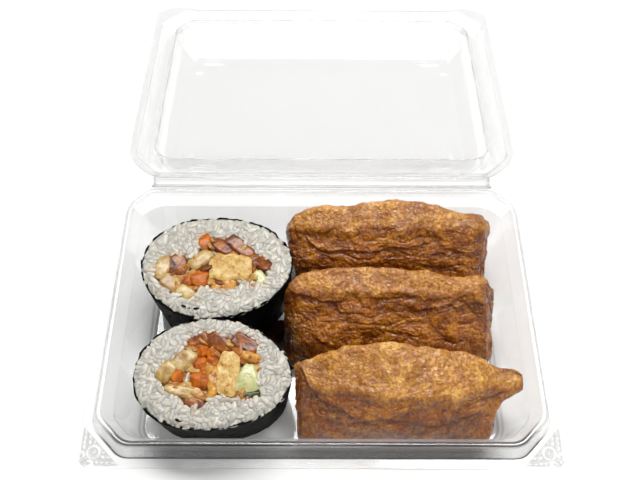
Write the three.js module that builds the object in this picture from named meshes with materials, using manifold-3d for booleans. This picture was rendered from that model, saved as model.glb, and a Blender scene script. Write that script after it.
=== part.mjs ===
// Takeaway sushi tray: a clear thermoformed tray with a hinged lid folded back flat behind it, holding two
// thick slices of rolled sushi and three fried-tofu pouches. Millimetres, +Z up, +X to the right, +Y towards
// the hinge. The origin is the centre of the tray's underside.
import * as THREE from "three";
import { mergeVertices } from "three/addons/utils/BufferGeometryUtils.js";
import Module from "manifold-3d";

const wasm = await Module();
wasm.setup();

// Sheet and outline shared by the tray and the lid
const sheet = 0.55; // thickness of the formed plastic
const width = 160; // over the flanges, along X
const depth = 112.7; // over the flange, along Y
const gap = 0.3; // between pieces that touch
const flangeWidth = 3.2;
const cornerCut = 11; // leg of the 45 degree corner, at the outer edge and at the ridge's foot
const smallestCut = 2;
const cutShrink = 2 - Math.SQRT2; // how fast a 45 degree corner's leg shrinks with the inset
const cornerSteps = 2; // segments in each rounded vertex of the outline
const cornerRadius = 3; // rounding of every vertex of the outline
const roundingShare = 0.45; // the most of an edge that one rounding takes
const sharpestMiter = 0.5;

// Tray
const flangeZ = 24.5; // upper face of the flange above the table
// The hollow ridge inside the flange: insets of its two slopes' tops, its height, and its soft edges
const ridge = { outer: 5.2, inner: 7.3, height: 5.9, soften: 0.5 };
// The wall inside the ridge: insets and heights of its top, foot and bend to the floor
const wall = { topInset: 10, topDrop: 0.4, footInset: 13.3, footZ: 4.2, bendInset: 14, bendZ: 1.6 };
const floorInset = 15.4; // from the flange's edge to the flat of the floor
const floorMargin = 4; // ring of the floor next to the wall

// Lid, as it is when closed: heights are above the tray's flange
const lidDepth = 15.5; // to the inside of the top panel
const lidShoulder = 9; // height at which the wall turns in towards the panel
const lidPanelSide = 17.5; // inset of the panel's edge from the flange's edge, at the two sides
const lidPanelFront = 20;
const lidPanelBack = 18;
const lidFrontReturn = 1.9; // the lid's front edge stands back from the tray's
// The lid's ridge nests over the tray's: insets of its slopes, crown and foot, and its heights
const lidRidge = {
  start: 2.94, outer: 4.94, crown: 5.5, crownEnd: 6.95, inner: 7.55, foot: 10.1, height: 5.95,
};
const lidWall = { start: 10.6, rise: 10.9, shoulder: 11.8, turn: 12.2 }; // insets of the wall's bends
const lidSoften = 0.5;
const lidDraft = { shoulder: 0.03, turn: 0.12, edge: 0.9 }; // shares of the panel's own inset on the way up
const lidPanelMargin = 4;
const liftTab = { radius: 7.5, width: 14, blend: 4, reach: 0.3 }; // rounded corner tabs that lift the lid

// Hinge, along X behind the tray's flange
const hingeSetback = 2.13;
const hingeY = depth / 2 + hingeSetback;
const hingeZ = flangeZ + gap / 2;
const hingeBead = 1.8; // outer radius of the fold
const hingeLength = width - 2 * cornerCut - 2;

// Food
const foodFloor = sheet + gap; // what lies on the tray's floor starts here
const noriThickness = 0.6;
const rollSteps = 40;
const fillingSteps = 10;
const fillingSquareness = 0.6; // 1 is an ellipse, 0 a rectangle
const beyond = 0.05; // share of a slice's height by which a cutting column runs past its faces

const clearLook = { color: 0xf4f7f8, roughness: 0.12, metalness: 0, transparent: true, opacity: 0.3 };
const clearPlastic = () => new THREE.MeshStandardMaterial(clearLook);
const matte = (color, roughness) => new THREE.MeshStandardMaterial({ color, roughness, metalness: 0 });
const finishes = {
  nori: () => matte(0x121512, 0.45),
  rice: () => matte(0xd6d1c6, 0.5),
  egg: () => matte(0xe3c488, 0.55),
  amber: () => matte(0xbf8a30, 0.4),
  carrot: () => matte(0xbc5f18, 0.45),
  gourd: () => matte(0xb3904f, 0.4),
  shiitake: () => matte(0x64300f, 0.4),
  cucumber: () => matte(0xcfcf9f, 0.35),
  skin: () => matte(0x3c4a24, 0.4),
  tofu: () => matte(0xb97f42, 0.5),
};

function toSolid(geometry) {
  const bare = (geometry.index ? geometry.toNonIndexed() : geometry).clone();
  for (const name of Object.keys(bare.attributes)) if (name !== "position") bare.deleteAttribute(name);
  const merged = mergeVertices(bare, 1e-4);
  return new wasm.Manifold(
    new wasm.Mesh({
      numProp: 3,
      vertProperties: new Float32Array(merged.attributes.position.array),
      triVerts: new Uint32Array(merged.index.array),
    }),
  );
}

function toGeometry(solid) {
  const mesh = solid.getMesh();
  const geometry = new THREE.BufferGeometry();
  geometry.setAttribute("position", new THREE.BufferAttribute(new Float32Array(mesh.vertProperties), 3));
  geometry.setIndex(new THREE.BufferAttribute(new Uint32Array(mesh.triVerts), 1));
  geometry.computeVertexNormals();
  return geometry;
}

function piece(name, geometry, material) {
  const mesh = new THREE.Mesh(geometry, material);
  mesh.name = name;
  return mesh;
}

// A closed surface through rings of equal length, each a list of points counter-clockwise seen from outside
// the last ring's end. Fans close both ends.
function loft(rings) {
  const count = rings[0].length;
  const points = rings.flat();
  const index = [];
  for (let r = 0; r + 1 < rings.length; r++) {
    for (let i = 0; i < count; i++) {
      const j = (i + 1) % count;
      const low = r * count;
      const high = low + count;
      index.push(low + i, low + j, high + j, low + i, high + j, high + i);
    }
  }
  const middle = (ring) => ring.reduce((sum, p) => sum.add(p), new THREE.Vector3()).divideScalar(count);
  const first = points.length;
  points.push(middle(rings[0]), middle(rings[rings.length - 1]));
  const last = (rings.length - 1) * count;
  for (let i = 0; i < count; i++) {
    const j = (i + 1) % count;
    index.push(first, j, i, first + 1, last + i, last + j);
  }
  const geometry = new THREE.BufferGeometry().setFromPoints(points);
  geometry.setIndex(index);
  return geometry;
}

// Rounds one corner vertex: a few points from one edge round to the next.
function roundVertex(before, vertex, after, radius, steps) {
  const into = before.clone().sub(vertex);
  const out = after.clone().sub(vertex);
  const reach = Math.min(radius, into.length() * roundingShare, out.length() * roundingShare);
  const start = vertex.clone().addScaledVector(into.normalize(), reach);
  const end = vertex.clone().addScaledVector(out.normalize(), reach);
  const curve = new THREE.QuadraticBezierCurve(start, vertex, end);
  return curve.getPoints(steps);
}

// A closed outline with each vertex rounded by its own radius.
function roundOutline(corners, radii, steps) {
  const count = corners.length;
  return corners.flatMap((corner, i) =>
    roundVertex(corners[(i + count - 1) % count], corner, corners[(i + 1) % count], radii[i], steps),
  );
}

// The corner-cut outline at one level: half width, the front and back edges' Y, and the cuts' legs.
function outline(halfWidth, front, back, frontCut, backCut) {
  const corners = [
    [halfWidth, front + frontCut],
    [halfWidth, back - backCut],
    [halfWidth - backCut, back],
    [-halfWidth + backCut, back],
    [-halfWidth, back - backCut],
    [-halfWidth, front + frontCut],
    [-halfWidth + frontCut, front],
    [halfWidth - frontCut, front],
  ].map(([x, y]) => new THREE.Vector2(x, y));
  return roundOutline(corners, corners.map(() => cornerRadius), cornerSteps);
}

const atHeight = (ring, z) => ring.map((p) => new THREE.Vector3(p.x, p.y, z));

// The leg of the 45 degree corner cut at an inset from the flange's edge.
const cutAt = (inset, from) => Math.max(cornerCut - cutShrink * (inset - from), smallestCut);

// Moves each point of an [inset, z] profile square to the profile by a distance, to the left of its run.
function offsetProfile(profile, distance) {
  return profile.map(([u, z], i) => {
    const [u0, z0] = profile[Math.max(i - 1, 0)];
    const [u1, z1] = profile[Math.min(i + 1, profile.length - 1)];
    const before = new THREE.Vector2(u - u0, z - z0);
    const after = new THREE.Vector2(u1 - u, z1 - z);
    if (i === 0) before.copy(after);
    if (i === profile.length - 1) after.copy(before);
    const a = before.normalize();
    const b = after.normalize();
    const miter = new THREE.Vector2(-a.y - b.y, a.x + b.x).normalize();
    const stretch = 1 / Math.max(miter.dot(new THREE.Vector2(-a.y, a.x)), sharpestMiter);
    return [u + miter.x * distance * stretch, z + miter.y * distance * stretch];
  });
}

// A shell between an upper and a lower profile, closed by the outer edge and by both floors.
function shell(upper, lower, ringAt) {
  const under = lower.map(([u, z], level) => ringAt(u, z, level)).reverse();
  const over = upper.map(([u, z], level) => ringAt(u, z, level));
  return loft([...under, ...over]);
}

function trayGeometry() {
  const crown = flangeZ + ridge.height;
  const upper = [
    [0, flangeZ],
    [flangeWidth, flangeZ],
    [ridge.outer, crown - ridge.soften],
    [ridge.outer + ridge.soften, crown],
    [ridge.inner - ridge.soften, crown],
    [ridge.inner, crown - ridge.soften],
    [wall.topInset, flangeZ - wall.topDrop],
    [wall.footInset, wall.footZ],
    [wall.bendInset, wall.bendZ],
    [floorInset, sheet],
    [floorInset + floorMargin, sheet],
  ];
  // The flange keeps square front corners; everything inside it has the 45 degree cut all round
  const ringAt = (inset, z, level) => {
    const frontCut = level === 0 ? cornerRadius : cutAt(inset, flangeWidth);
    const half = width / 2 - inset;
    return atHeight(outline(half, inset - depth / 2, depth / 2 - inset, frontCut, cutAt(inset, 0)), z);
  };
  return shell(upper, offsetProfile(upper, -sheet), ringAt);
}

// The lid's outer edge: a flange with rounded lift tabs at its two front corners.
function liftTabRing(z) {
  const half = width / 2;
  const edge = -depth / 2 + lidFrontReturn;
  const tip = -depth / 2 - liftTab.reach;
  const ring = outline(half, edge, depth / 2, cornerCut, cornerCut);
  const perVertex = cornerSteps + 1;
  const frontLeft = 5 * perVertex; // the outline's vertices run from the right side's front corner
  const frontLeftRun = 6 * perVertex;
  const frontRightRun = 7 * perVertex;
  const centre = new THREE.Vector2(half - liftTab.radius, tip + liftTab.radius);
  for (let i = 0; i < perVertex; i++) {
    const share = i / cornerSteps;
    const turn = share * (Math.PI / 2);
    const x = centre.x + liftTab.radius * Math.cos(turn);
    const y = centre.y - liftTab.radius * Math.sin(turn);
    const run = half - liftTab.width + liftTab.blend * (1 - share);
    const step = THREE.MathUtils.lerp(tip, edge, share);
    ring[perVertex - 1 - i].set(x, y);
    ring[frontLeft + i].set(-x, y);
    ring[frontLeftRun + i].set(-run, step);
    ring[frontRightRun + perVertex - 1 - i].set(run, step);
  }
  return atHeight(ring, z);
}

// The lid in its closed place, above the tray's flange by the gap.
function lidGeometry() {
  const seat = flangeZ + gap;
  const panel = flangeZ + lidDepth;
  const crown = seat + lidRidge.height;
  const shoulder = flangeZ + lidShoulder;
  const inner = [
    [0, seat, 0],
    [lidRidge.start, seat, 0],
    [lidRidge.outer, crown - lidSoften, 0],
    [lidRidge.crown, crown, 0],
    [lidRidge.crownEnd, crown, 0],
    [lidRidge.inner, crown - lidSoften, 0],
    [lidRidge.foot, seat, 0],
    [lidWall.start, seat, 0],
    [lidWall.rise, seat + gap, 0],
    [lidWall.shoulder, shoulder, lidDraft.shoulder],
    [lidWall.turn, shoulder + 1.2, lidDraft.turn],
    [lidPanelBack - 1, panel - 0.9, lidDraft.edge],
    [lidPanelBack, panel, 1],
    [lidPanelBack + lidPanelMargin, panel, 1],
  ];
  const outer = offsetProfile(inner.map(([u, z]) => [u, z]), sheet).map(([u, z], i) => [u, z, inner[i][2]]);
  // share runs from 0 at the ridge to 1 at the panel, where each side has an inset of its own
  const ringAt = (inset, z, share, level) => {
    if (level === 0) return liftTabRing(z);
    const side = inset + share * (lidPanelSide - lidPanelBack);
    const front = inset + share * (lidPanelFront - lidPanelBack);
    const half = width / 2 - side;
    return atHeight(
      outline(half, front - depth / 2, depth / 2 - inset, cutAt(inset, flangeWidth), cutAt(inset, 0)),
      z,
    );
  };
  const rings = (profile) => profile.map(([u, z, share], level) => ringAt(u, z, share, level));
  return loft([...rings(inner).reverse(), ...rings(outer)]);
}

// The living hinge: a half-round fold hanging between the two flanges.
function hingeGeometry() {
  const fold = new THREE.Shape();
  fold.absarc(0, 0, hingeBead, Math.PI, 2 * Math.PI, false);
  fold.absarc(0, 0, hingeBead - sheet, 2 * Math.PI, Math.PI, true);
  fold.closePath();
  const run = { depth: hingeLength, bevelEnabled: false, curveSegments: 8 };
  const strip = new THREE.ExtrudeGeometry(fold, run);
  strip.translate(0, 0, -hingeLength / 2);
  strip.rotateX(Math.PI / 2);
  strip.rotateZ(Math.PI / 2);
  return strip;
}

// How far the open lid's plane dips below level, with the far edge of its panel on the table.
function lidDip() {
  const reach = hingeY + depth / 2 - lidPanelFront;
  const below = lidDepth + sheet - gap / 2;
  return Math.asin(hingeZ / Math.hypot(reach, below)) - Math.atan2(below, reach);
}

// Each roll: the cut face's centre and height, its half sizes, a wave that makes the oval uneven, the face's
// slope towards the front, and the foot's shift and scale, as each slice leans on the front wall.
const rolls = {
  roll_back: {
    x: -39.0, y: 16.9, top: flangeZ + 5, a: 28.3, b: 21.4, wave: 0.02, phase: 0.6,
    slope: 0.03, footShift: 0.4, footScale: 0.9,
  },
  roll_front: {
    x: -37.8, y: -25.2, top: flangeZ + 4, a: 27.5, b: 19.8, wave: 0.022, phase: 2.2,
    slope: 0.11, footShift: 2.1, footScale: 0.905,
  },
};

// The roll's oval at an angle, pulled in by an inset: an ellipse with a three-lobed wave.
function rollPoint(roll, angle, inset) {
  const swell = 1 + roll.wave * Math.sin(3 * angle + roll.phase);
  const x = (roll.a - inset) * swell * Math.cos(angle);
  const y = (roll.b - inset) * swell * Math.sin(angle);
  return new THREE.Vector2(x, y);
}

// A point of the slice, from its place on the cut face and how far up it is: 0 at the foot, 1 at the face.
function inSlice(roll, x, y, rise) {
  const scale = THREE.MathUtils.lerp(roll.footScale, 1, rise);
  const shift = THREE.MathUtils.lerp(roll.footShift, 0, rise);
  const face = roll.top + roll.slope * (y - roll.y);
  return new THREE.Vector3(
    roll.x + (x - roll.x) * scale,
    roll.y + shift + (y - roll.y) * scale,
    THREE.MathUtils.lerp(foodFloor, face, rise),
  );
}

// The oval column of the slice between two rises.
function rollColumn(roll, inset, low, high) {
  const ringAt = (rise) =>
    Array.from({ length: rollSteps }, (_, i) => {
      const p = rollPoint(roll, (i / rollSteps) * 2 * Math.PI, inset);
      return inSlice(roll, roll.x + p.x, roll.y + p.y, rise);
    });
  return loft([ringAt(low), ringAt(high)]);
}

// A filling strip: a rounded bar through the whole slice, following the slice's lean.
function fillingGeometry(roll, strip, grow, low, high) {
  const [, x, y, a, b, degrees] = strip;
  const power = (v) => Math.sign(v) * Math.abs(v) ** fillingSquareness;
  const turn = THREE.MathUtils.degToRad(degrees);
  const ringAt = (rise) =>
    Array.from({ length: fillingSteps }, (_, i) => {
      const angle = (i / fillingSteps) * 2 * Math.PI;
      const p = new THREE.Vector2((a + grow) * power(Math.cos(angle)), (b + grow) * power(Math.sin(angle)));
      p.rotateAround(new THREE.Vector2(), turn);
      return inSlice(roll, x + p.x, y + p.y, rise);
    });
  return loft([ringAt(low), ringAt(high)]);
}

// Fillings: name, centre X and Y on the cut face, half length, half width, direction in degrees, finish.
const fillings = {
  roll_back: [
    ["egg", -33.7, 15.6, 7.3, 4.7, 0, "egg"],
    ["shiitake_1", -37.6, 24.9, 3.2, 1.3, -34, "shiitake"],
    ["shiitake_2", -30.3, 24.6, 5.0, 1.5, -40, "shiitake"],
    ["shiitake_3", -22.6, 18.6, 3.6, 1.5, -39, "shiitake"],
    ["carrot_1", -43.9, 27.4, 2.9, 1.5, -82, "carrot"],
    ["carrot_2", -44.7, 12.2, 2.5, 2.9, 0, "carrot"],
    ["carrot_3", -49.3, 10.4, 1.3, 1.6, 0, "carrot"],
    ["gourd_1", -45.0, 19.4, 3.9, 1.9, 40, "gourd"],
    ["gourd_2", -58.8, 15.7, 3.6, 1.9, 73, "gourd"],
    ["gourd_3", -55.2, 9.4, 3.0, 1.8, -41, "gourd"],
    ["shiitake_4", -53.2, 17.4, 2.3, 2.7, 0, "shiitake"],
    ["gourd_4", -49.2, 5.7, 2.7, 1.4, -25, "gourd"],
    ["amber", -35.6, 8.3, 4.0, 1.2, 0, "amber"],
    ["cucumber", -23.2, 12.0, 2.2, 2.4, 0, "cucumber"],
  ],
  roll_front: [
    ["shiitake_1", -43.2, -13.1, 2.3, 1.0, 19, "shiitake"],
    ["shiitake_2", -35.6, -14.3, 4.0, 1.6, -33, "shiitake"],
    ["shiitake_3", -26.7, -14.5, 3.7, 1.5, -24, "shiitake"],
    ["amber_1", -24.6, -19.4, 2.8, 0.8, -19, "amber"],
    ["carrot_1", -41.7, -16.9, 1.6, 1.7, 0, "carrot"],
    ["carrot_2", -37.9, -17.8, 1.3, 0.9, 0, "carrot"],
    ["carrot_3", -41.6, -22.1, 1.7, 2.3, 0, "carrot"],
    ["carrot_4", -37.4, -21.1, 1.7, 1.1, 0, "carrot"],
    ["carrot_5", -41.4, -27.7, 2.3, 2.1, 0, "carrot"],
    ["carrot_6", -49.3, -25.9, 1.2, 1.6, 0, "carrot"],
    ["gourd_1", -47.1, -20.4, 4.0, 2.1, 54, "gourd"],
    ["gourd_2", -53.2, -24.9, 2.9, 2.0, 58, "gourd"],
    ["amber_2", -36.9, -27.8, 1.1, 4.3, 0, "amber"],
    ["egg", -31.8, -25.5, 3.3, 7.1, 0, "egg"],
    ["cucumber", -24.8, -26.7, 2.9, 4.2, 0, "cucumber"],
    ["cucumber_skin", -24.2, -32.7, 3.4, 0.7, 10, "skin"],
    ["gourd_3", -45.6, -31.9, 6.2, 1.1, -15, "gourd"],
    ["shiitake_4", -42.6, -35.6, 2.1, 0.9, -14, "shiitake"],
  ],
};

// One slice: the seaweed wrap, the rice, and each filling running from foot to face.
function rollPieces(name) {
  const roll = rolls[name];
  const strips = fillings[name];
  const wrapOuter = toSolid(rollColumn(roll, 0, 0, 1));
  const wrapBore = toSolid(rollColumn(roll, noriThickness, -beyond, 1 + beyond));
  const group = new THREE.Group();
  group.add(piece(name + "_nori", toGeometry(wrapOuter.subtract(wrapBore)), finishes.nori()));
  let rice = toSolid(rollColumn(roll, noriThickness + gap, 0, 1));
  for (const strip of strips) {
    rice = rice.subtract(toSolid(fillingGeometry(roll, strip, gap, -beyond, 1 + beyond)));
    const bar = fillingGeometry(roll, strip, 0, 0, 1);
    group.add(piece(name + "_" + strip[0], bar, finishes[strip[6]]()));
  }
  group.add(piece(name + "_rice", toGeometry(rice), finishes.rice()));
  return group;
}

// Each pouch: its centre, half length along X and half depth along Y. The long fold between the wide slanted
// side and the top, and the crown at the top's back, as [Y from the centre, Z]. How far the fold skews and
// bows along X; how the left and right ends taper to the foot; the ear at the right end; and how far the
// crown has fallen along the pouch, as [place from -1 to 1, mm].
const pouches = {
  pouch_back: {
    x: 25.3, y: 30.1, a: 40.1, b: 14.6, fold: [0.6, 31.8], skew: 0, bow: 2.4, crown: [12.7, 35.4],
    taper: [0.02, 0.02], slant: 0.01, ear: 0,
    fall: [[-1, 8], [-0.95, 6.7], [-0.71, 3.1], [-0.36, 2], [-0.28, 0.4], [0.03, 0], [0.28, 0.9], [0.52, 3.7],
      [0.71, 6], [0.9, 6.7], [1, 9]],
  },
  pouch_middle: {
    x: 24.3, y: 0.7, a: 38.9, b: 15, fold: [3.2, 31.2], skew: 0.4, bow: 2, crown: [13.6, 34.8],
    taper: [-0.03, -0.06], slant: -0.005, ear: 0,
    fall: [[-1, 10], [-0.94, 8], [-0.83, 3.7], [-0.64, 1.6], [-0.34, 0.4], [0.05, 0], [0.33, 1.8],
      [0.65, 4.9], [0.88, 4.5], [0.96, 8], [1, 10]],
  },
  pouch_front: {
    x: 28.3, y: -29.4, a: 39.5, b: 13.9, fold: [-4.6, 28.4], skew: -1.4, bow: 5, crown: [14.2, 34.3],
    taper: [0.03, 0.26], slant: 0.008, ear: 6.8,
    fall: [[-1, 9], [-0.94, 7.7], [-0.83, 7.4], [-0.72, 5.5], [-0.5, 2.3], [-0.13, 0], [0.17, 0.9],
      [0.54, 4.4], [0.72, 6.8], [0.84, 9.4], [0.92, 10.5], [1, 11]],
  },
};
const pouchSections = 20;
const pouchBends = 3; // segments in each rounded corner of a section
const pouchRounding = [3, 9, 2, 2.6, 8, 4]; // front foot, front bulge, fold, crown, back bulge, back foot
// Shares of the half depth, and heights, of the section's four lower corners
const pouchDepths = { frontFoot: 0.88, frontBulge: 1, backBulge: 1.02, backFoot: 0.76 };
const frontBulgeRise = 8;
const backBulgeShare = 0.55; // of the crown's height
// How the fold and the crown move as the crown falls
const fallShares = { foldY: 0.2, foldZ: 0.42, crownY: 0.55, crownZ: 0.72, back: 0.2 };
const pouchMiddle = { depth: 0.1, height: 0.45 }; // the point towards which the ends close
const endSharpness = 16;
const endRounding = 8;
const taperPower = 1.3;
const earShape = { from: 0.84, y: 2, z: 25, wide: 7, high: 3.6 };

// The crown's fall at a place along the pouch, by straight lines between the given places.
function fallAt(fall, along) {
  const next = fall.findIndex(([place]) => place >= along);
  const [endPlace, endFall] = fall[next];
  if (next === 0) return endFall;
  const [startPlace, startFall] = fall[next - 1];
  return THREE.MathUtils.mapLinear(along, startPlace, endPlace, startFall, endFall);
}

// The rounded section of a pouch in the YZ plane at a place along it.
function pouchSection(pouch, along) {
  const fall = fallAt(pouch.fall, along);
  const [foldY, foldZ] = pouch.fold;
  const [crownY, crownZ] = pouch.crown;
  const crownAt = crownZ - fallShares.crownZ * fall;
  const foldShift = pouch.skew * along + pouch.bow * along ** 2 + fallShares.foldY * fall;
  const corners = [
    [-pouchDepths.frontFoot * pouch.b, foodFloor],
    [-pouchDepths.frontBulge * pouch.b, foodFloor + frontBulgeRise],
    [foldY + foldShift, foldZ - fallShares.foldZ * fall],
    [crownY - fallShares.crownY * fall, crownAt],
    [pouchDepths.backBulge * pouch.b - fallShares.back * fall, backBulgeShare * crownAt],
    [pouchDepths.backFoot * pouch.b, foodFloor],
  ].map(([y, z]) => new THREE.Vector2(y, z));
  return roundOutline(corners, pouchRounding, pouchBends);
}

// A pouch: sections along X that close towards blunt ends, tapering to the foot, with an ear at the right.
function pouchGeometry(pouch) {
  const middleY = pouchMiddle.depth * pouch.b;
  const middleZ = pouchMiddle.height * pouch.crown[1];
  const rings = [];
  for (let i = 0; i < pouchSections; i++) {
    const along = Math.cos(((i + 0.5) / pouchSections) * Math.PI);
    const shrink = (1 - Math.abs(along) ** endSharpness) ** (1 / endRounding);
    const taper = along < 0 ? pouch.taper[0] : pouch.taper[1];
    const atEnd = THREE.MathUtils.smoothstep(along, earShape.from, 1);
    const ring = pouchSection(pouch, along).map((p) => {
      const y = middleY + (p.x - middleY) * shrink;
      const z = middleZ + (p.y - middleZ) * shrink;
      const low = 1 - THREE.MathUtils.clamp(z / pouch.crown[1], 0, 1);
      const across = ((y - earShape.y) / earShape.wide) ** 2 + ((z - earShape.z) / earShape.high) ** 2;
      const x = pouch.a * along * (1 - taper * low ** taperPower) + pouch.ear * atEnd * Math.exp(-across);
      return new THREE.Vector3(pouch.x + x, pouch.y + y + pouch.slant * x, z);
    });
    rings.push(ring);
  }
  return loft(rings);
}

// A pouch, pressed in where it meets the rolls.
function pouchPiece(name) {
  let pouch = toSolid(pouchGeometry(pouches[name]));
  const wholeHeight = 1.4; // of the slice's rise, to past the pouch's top
  for (const roll of Object.values(rolls)) {
    pouch = pouch.subtract(toSolid(rollColumn(roll, -gap, -2 * beyond, wholeHeight)));
  }
  return piece(name, toGeometry(pouch), finishes.tofu());
}

const tray = new THREE.Group();
tray.add(piece("tray", trayGeometry(), clearPlastic()));
const hinge = piece("hinge_strip", hingeGeometry(), clearPlastic());
hinge.position.set(0, hingeY, hingeZ);
tray.add(hinge);
for (const name of Object.keys(rolls)) tray.add(rollPieces(name));
for (const name of Object.keys(pouches)) tray.add(pouchPiece(name));

const lid = piece("lid", lidGeometry(), clearPlastic());
lid.position.set(0, -hingeY, -hingeZ);
const lidPivot = new THREE.Group();
lidPivot.position.set(0, hingeY, hingeZ);
lidPivot.rotation.x = -Math.PI - lidDip();
lidPivot.add(lid);

const sushiTray = new THREE.Group();
sushiTray.add(tray, lidPivot);

export default sushiTray;
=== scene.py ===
import bmesh
import bpy
import numpy as np
from math import cos, pi, radians, sin
from mathutils import Matrix, Vector


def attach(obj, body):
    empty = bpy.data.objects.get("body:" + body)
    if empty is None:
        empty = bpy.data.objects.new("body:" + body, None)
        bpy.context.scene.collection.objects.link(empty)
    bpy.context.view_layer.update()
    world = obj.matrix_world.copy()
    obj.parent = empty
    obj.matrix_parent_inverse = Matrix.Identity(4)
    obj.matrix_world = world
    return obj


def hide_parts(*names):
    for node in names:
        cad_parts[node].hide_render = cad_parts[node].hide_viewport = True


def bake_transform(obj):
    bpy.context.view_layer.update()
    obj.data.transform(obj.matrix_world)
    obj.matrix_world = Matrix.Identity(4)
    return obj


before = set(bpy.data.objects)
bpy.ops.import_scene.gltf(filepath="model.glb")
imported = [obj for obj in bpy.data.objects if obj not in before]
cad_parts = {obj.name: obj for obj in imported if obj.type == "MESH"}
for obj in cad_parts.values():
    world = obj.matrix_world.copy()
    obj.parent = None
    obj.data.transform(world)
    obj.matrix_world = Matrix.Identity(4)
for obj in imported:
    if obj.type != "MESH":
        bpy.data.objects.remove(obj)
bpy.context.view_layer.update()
mm = 0.001
rng = np.random.default_rng(20)
scene = bpy.context.scene


def makePiece(name, verts, faces, mat, smooth=True):
    # verts in millimetres, faces a list of (n, 3 or 4) arrays
    mesh = bpy.data.meshes.new(name)
    loops = np.concatenate([g.ravel() for g in faces]).astype(np.int32)
    sizes = np.concatenate([np.full(len(g), g.shape[1]) for g in faces])
    starts = np.concatenate([[0], np.cumsum(sizes)[:-1]]).astype(np.int32)
    mesh.vertices.add(len(verts))
    mesh.vertices.foreach_set("co", (np.asarray(verts) * mm).astype(np.float32).ravel())
    mesh.loops.add(len(loops))
    mesh.loops.foreach_set("vertex_index", loops)
    mesh.polygons.add(len(sizes))
    mesh.polygons.foreach_set("loop_start", starts)
    mesh.polygons.foreach_set("use_smooth", np.full(len(sizes), smooth))
    mesh.update(calc_edges=True)
    mesh.validate()
    mesh.materials.append(mat)
    return addObject(name, mesh)


def addObject(name, data):
    added = bpy.data.objects.new(name, data)
    scene.collection.objects.link(added)
    return added


def fixNormals(piece):
    work = bmesh.new()
    work.from_mesh(piece.data)
    bmesh.ops.recalc_face_normals(work, faces=work.faces)
    work.to_mesh(piece.data)
    work.free()
    piece.data.update()


def addAttributes(piece, **values):
    # one number for each vertex under each name, for the materials to read
    for name, array in values.items():
        attribute = piece.data.attributes.new(name, "FLOAT", "POINT")
        attribute.data.foreach_set("value", np.asarray(array, np.float32))


def gridFaces(rows, cols):
    # quads of a rows x cols grid of points, wrapped round in the column direction
    i, j = np.arange(rows - 1)[:, None], np.arange(cols)[None, :]
    k = (j + 1) % cols
    quads = np.stack([i * cols + j, i * cols + k, (i + 1) * cols + k, (i + 1) * cols + j], -1)
    return quads.reshape(-1, 4)


def cappedFaces(rows, cols):
    # the grid's quads, and a fan over each end round the two vertices that follow the grid's own
    ring = np.arange(cols)
    fan = np.stack([np.full(cols, rows * cols), ring, np.roll(ring, -1)], -1)
    last = (rows - 1) * cols
    return [gridFaces(rows, cols), fan[:, ::-1], fan + [1, last, last]]


def withEnds(points):
    # a grid's points in one list, then the middle of its first row and of its last
    return np.concatenate([points.reshape(-1, points.shape[-1]), points[:1].mean(1), points[-1:].mean(1)])


def gridNormals(points):
    along = np.gradient(points, axis=0)
    wrapped = np.concatenate([points[:, -1:], points, points[:, :1]], 1)
    around = np.gradient(wrapped, axis=1)[:, 1:-1]
    n = np.cross(along, around)
    return n / np.maximum(np.linalg.norm(n, axis=-1, keepdims=True), 1e-9)


def hashNoise(cells, seed):
    # a repeatable value from -1 to 1 at each whole-number cell: 2 fract(sin(c . k) * big) - 1
    k = np.array([127.1, 311.7, 74.7])
    v = np.sin(cells @ k + seed * 53.13) * 43758.5453
    return 2 * (v - np.floor(v)) - 1


def noise(points, scale, seed=0):
    # value noise: the eight cell values round each point, blended with weights t^2 (3 - 2t)
    p = np.asarray(points) / scale
    base = np.floor(p)
    t = p - base
    w = t * t * (3 - 2 * t)
    total = np.zeros(p.shape[:-1])
    for corner in range(8):
        step = np.array([corner & 1, corner >> 1 & 1, corner >> 2 & 1])
        share = np.prod(np.where(step, w, 1 - w), axis=-1)
        total += share * hashNoise(base + step, seed)
    return total


def fractal(points, scale, seed=0, octaves=3):
    # noise + half the noise at half the scale + ...
    return sum(noise(points, scale / 2**i, seed + i) / 2**i for i in range(octaves))


def relief(points, heightScale, seed, octaves=3):
    # height times fractal noise of the given scale
    return heightScale[0] * fractal(points, heightScale[1], seed, octaves)


def ridged(points, scale, seed=0):
    # creases: 1 on the lines where noise crosses zero, falling off on both sides
    return 1 - np.minimum(np.abs(noise(points, scale, seed)) * 4, 1)


def roundAngles(count):
    return np.linspace(0, 2 * pi, count, endpoint=False)[None, :]


def power(v, n):
    # |v|^n with the sign of v, which squares off a circle when n is under 1
    return np.sign(v) * np.abs(v) ** n


def ease(a, b, v):
    # 0 at a, 1 at b and t^2 (3 - 2t) between
    t = np.clip((v - a) / (b - a), 0, 1)
    return t * t * (3 - 2 * t)


def bell(v, centre, width):
    # exp(-((v - centre) / width)^2)
    return np.exp(-(((v - centre) / width) ** 2))


def linear(hexColour):
    # sRGB hex to a linear RGBA tuple
    c = np.array([int(hexColour[i:i + 2], 16) for i in (1, 3, 5)]) / 255
    c = np.where(c <= 0.04045, c / 12.92, ((c + 0.055) / 1.055) ** 2.4)
    return (*c, 1.0)


def node(mat, kind, settings=None, sockets=None, **inputs):
    # adds one shader node; sockets, by number or name, take another node's output, a value or a hex colour
    made = mat.node_tree.nodes.new("ShaderNode" + kind)
    for key, value in (settings or {}).items():
        setattr(made, key, value)
    named = {key.replace("_", " "): value for key, value in inputs.items() if value is not None}
    for key, value in {**named, **(sockets or {})}.items():
        if hasattr(value, "links"):
            mat.node_tree.links.new(value, made.inputs[key])
        else:
            made.inputs[key].default_value = linear(value) if isinstance(value, str) else value
    return made


def newMaterial(name):
    mat = bpy.data.materials.new(name)
    mat.use_nodes = True
    mat.node_tree.nodes.clear()
    return mat


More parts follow.
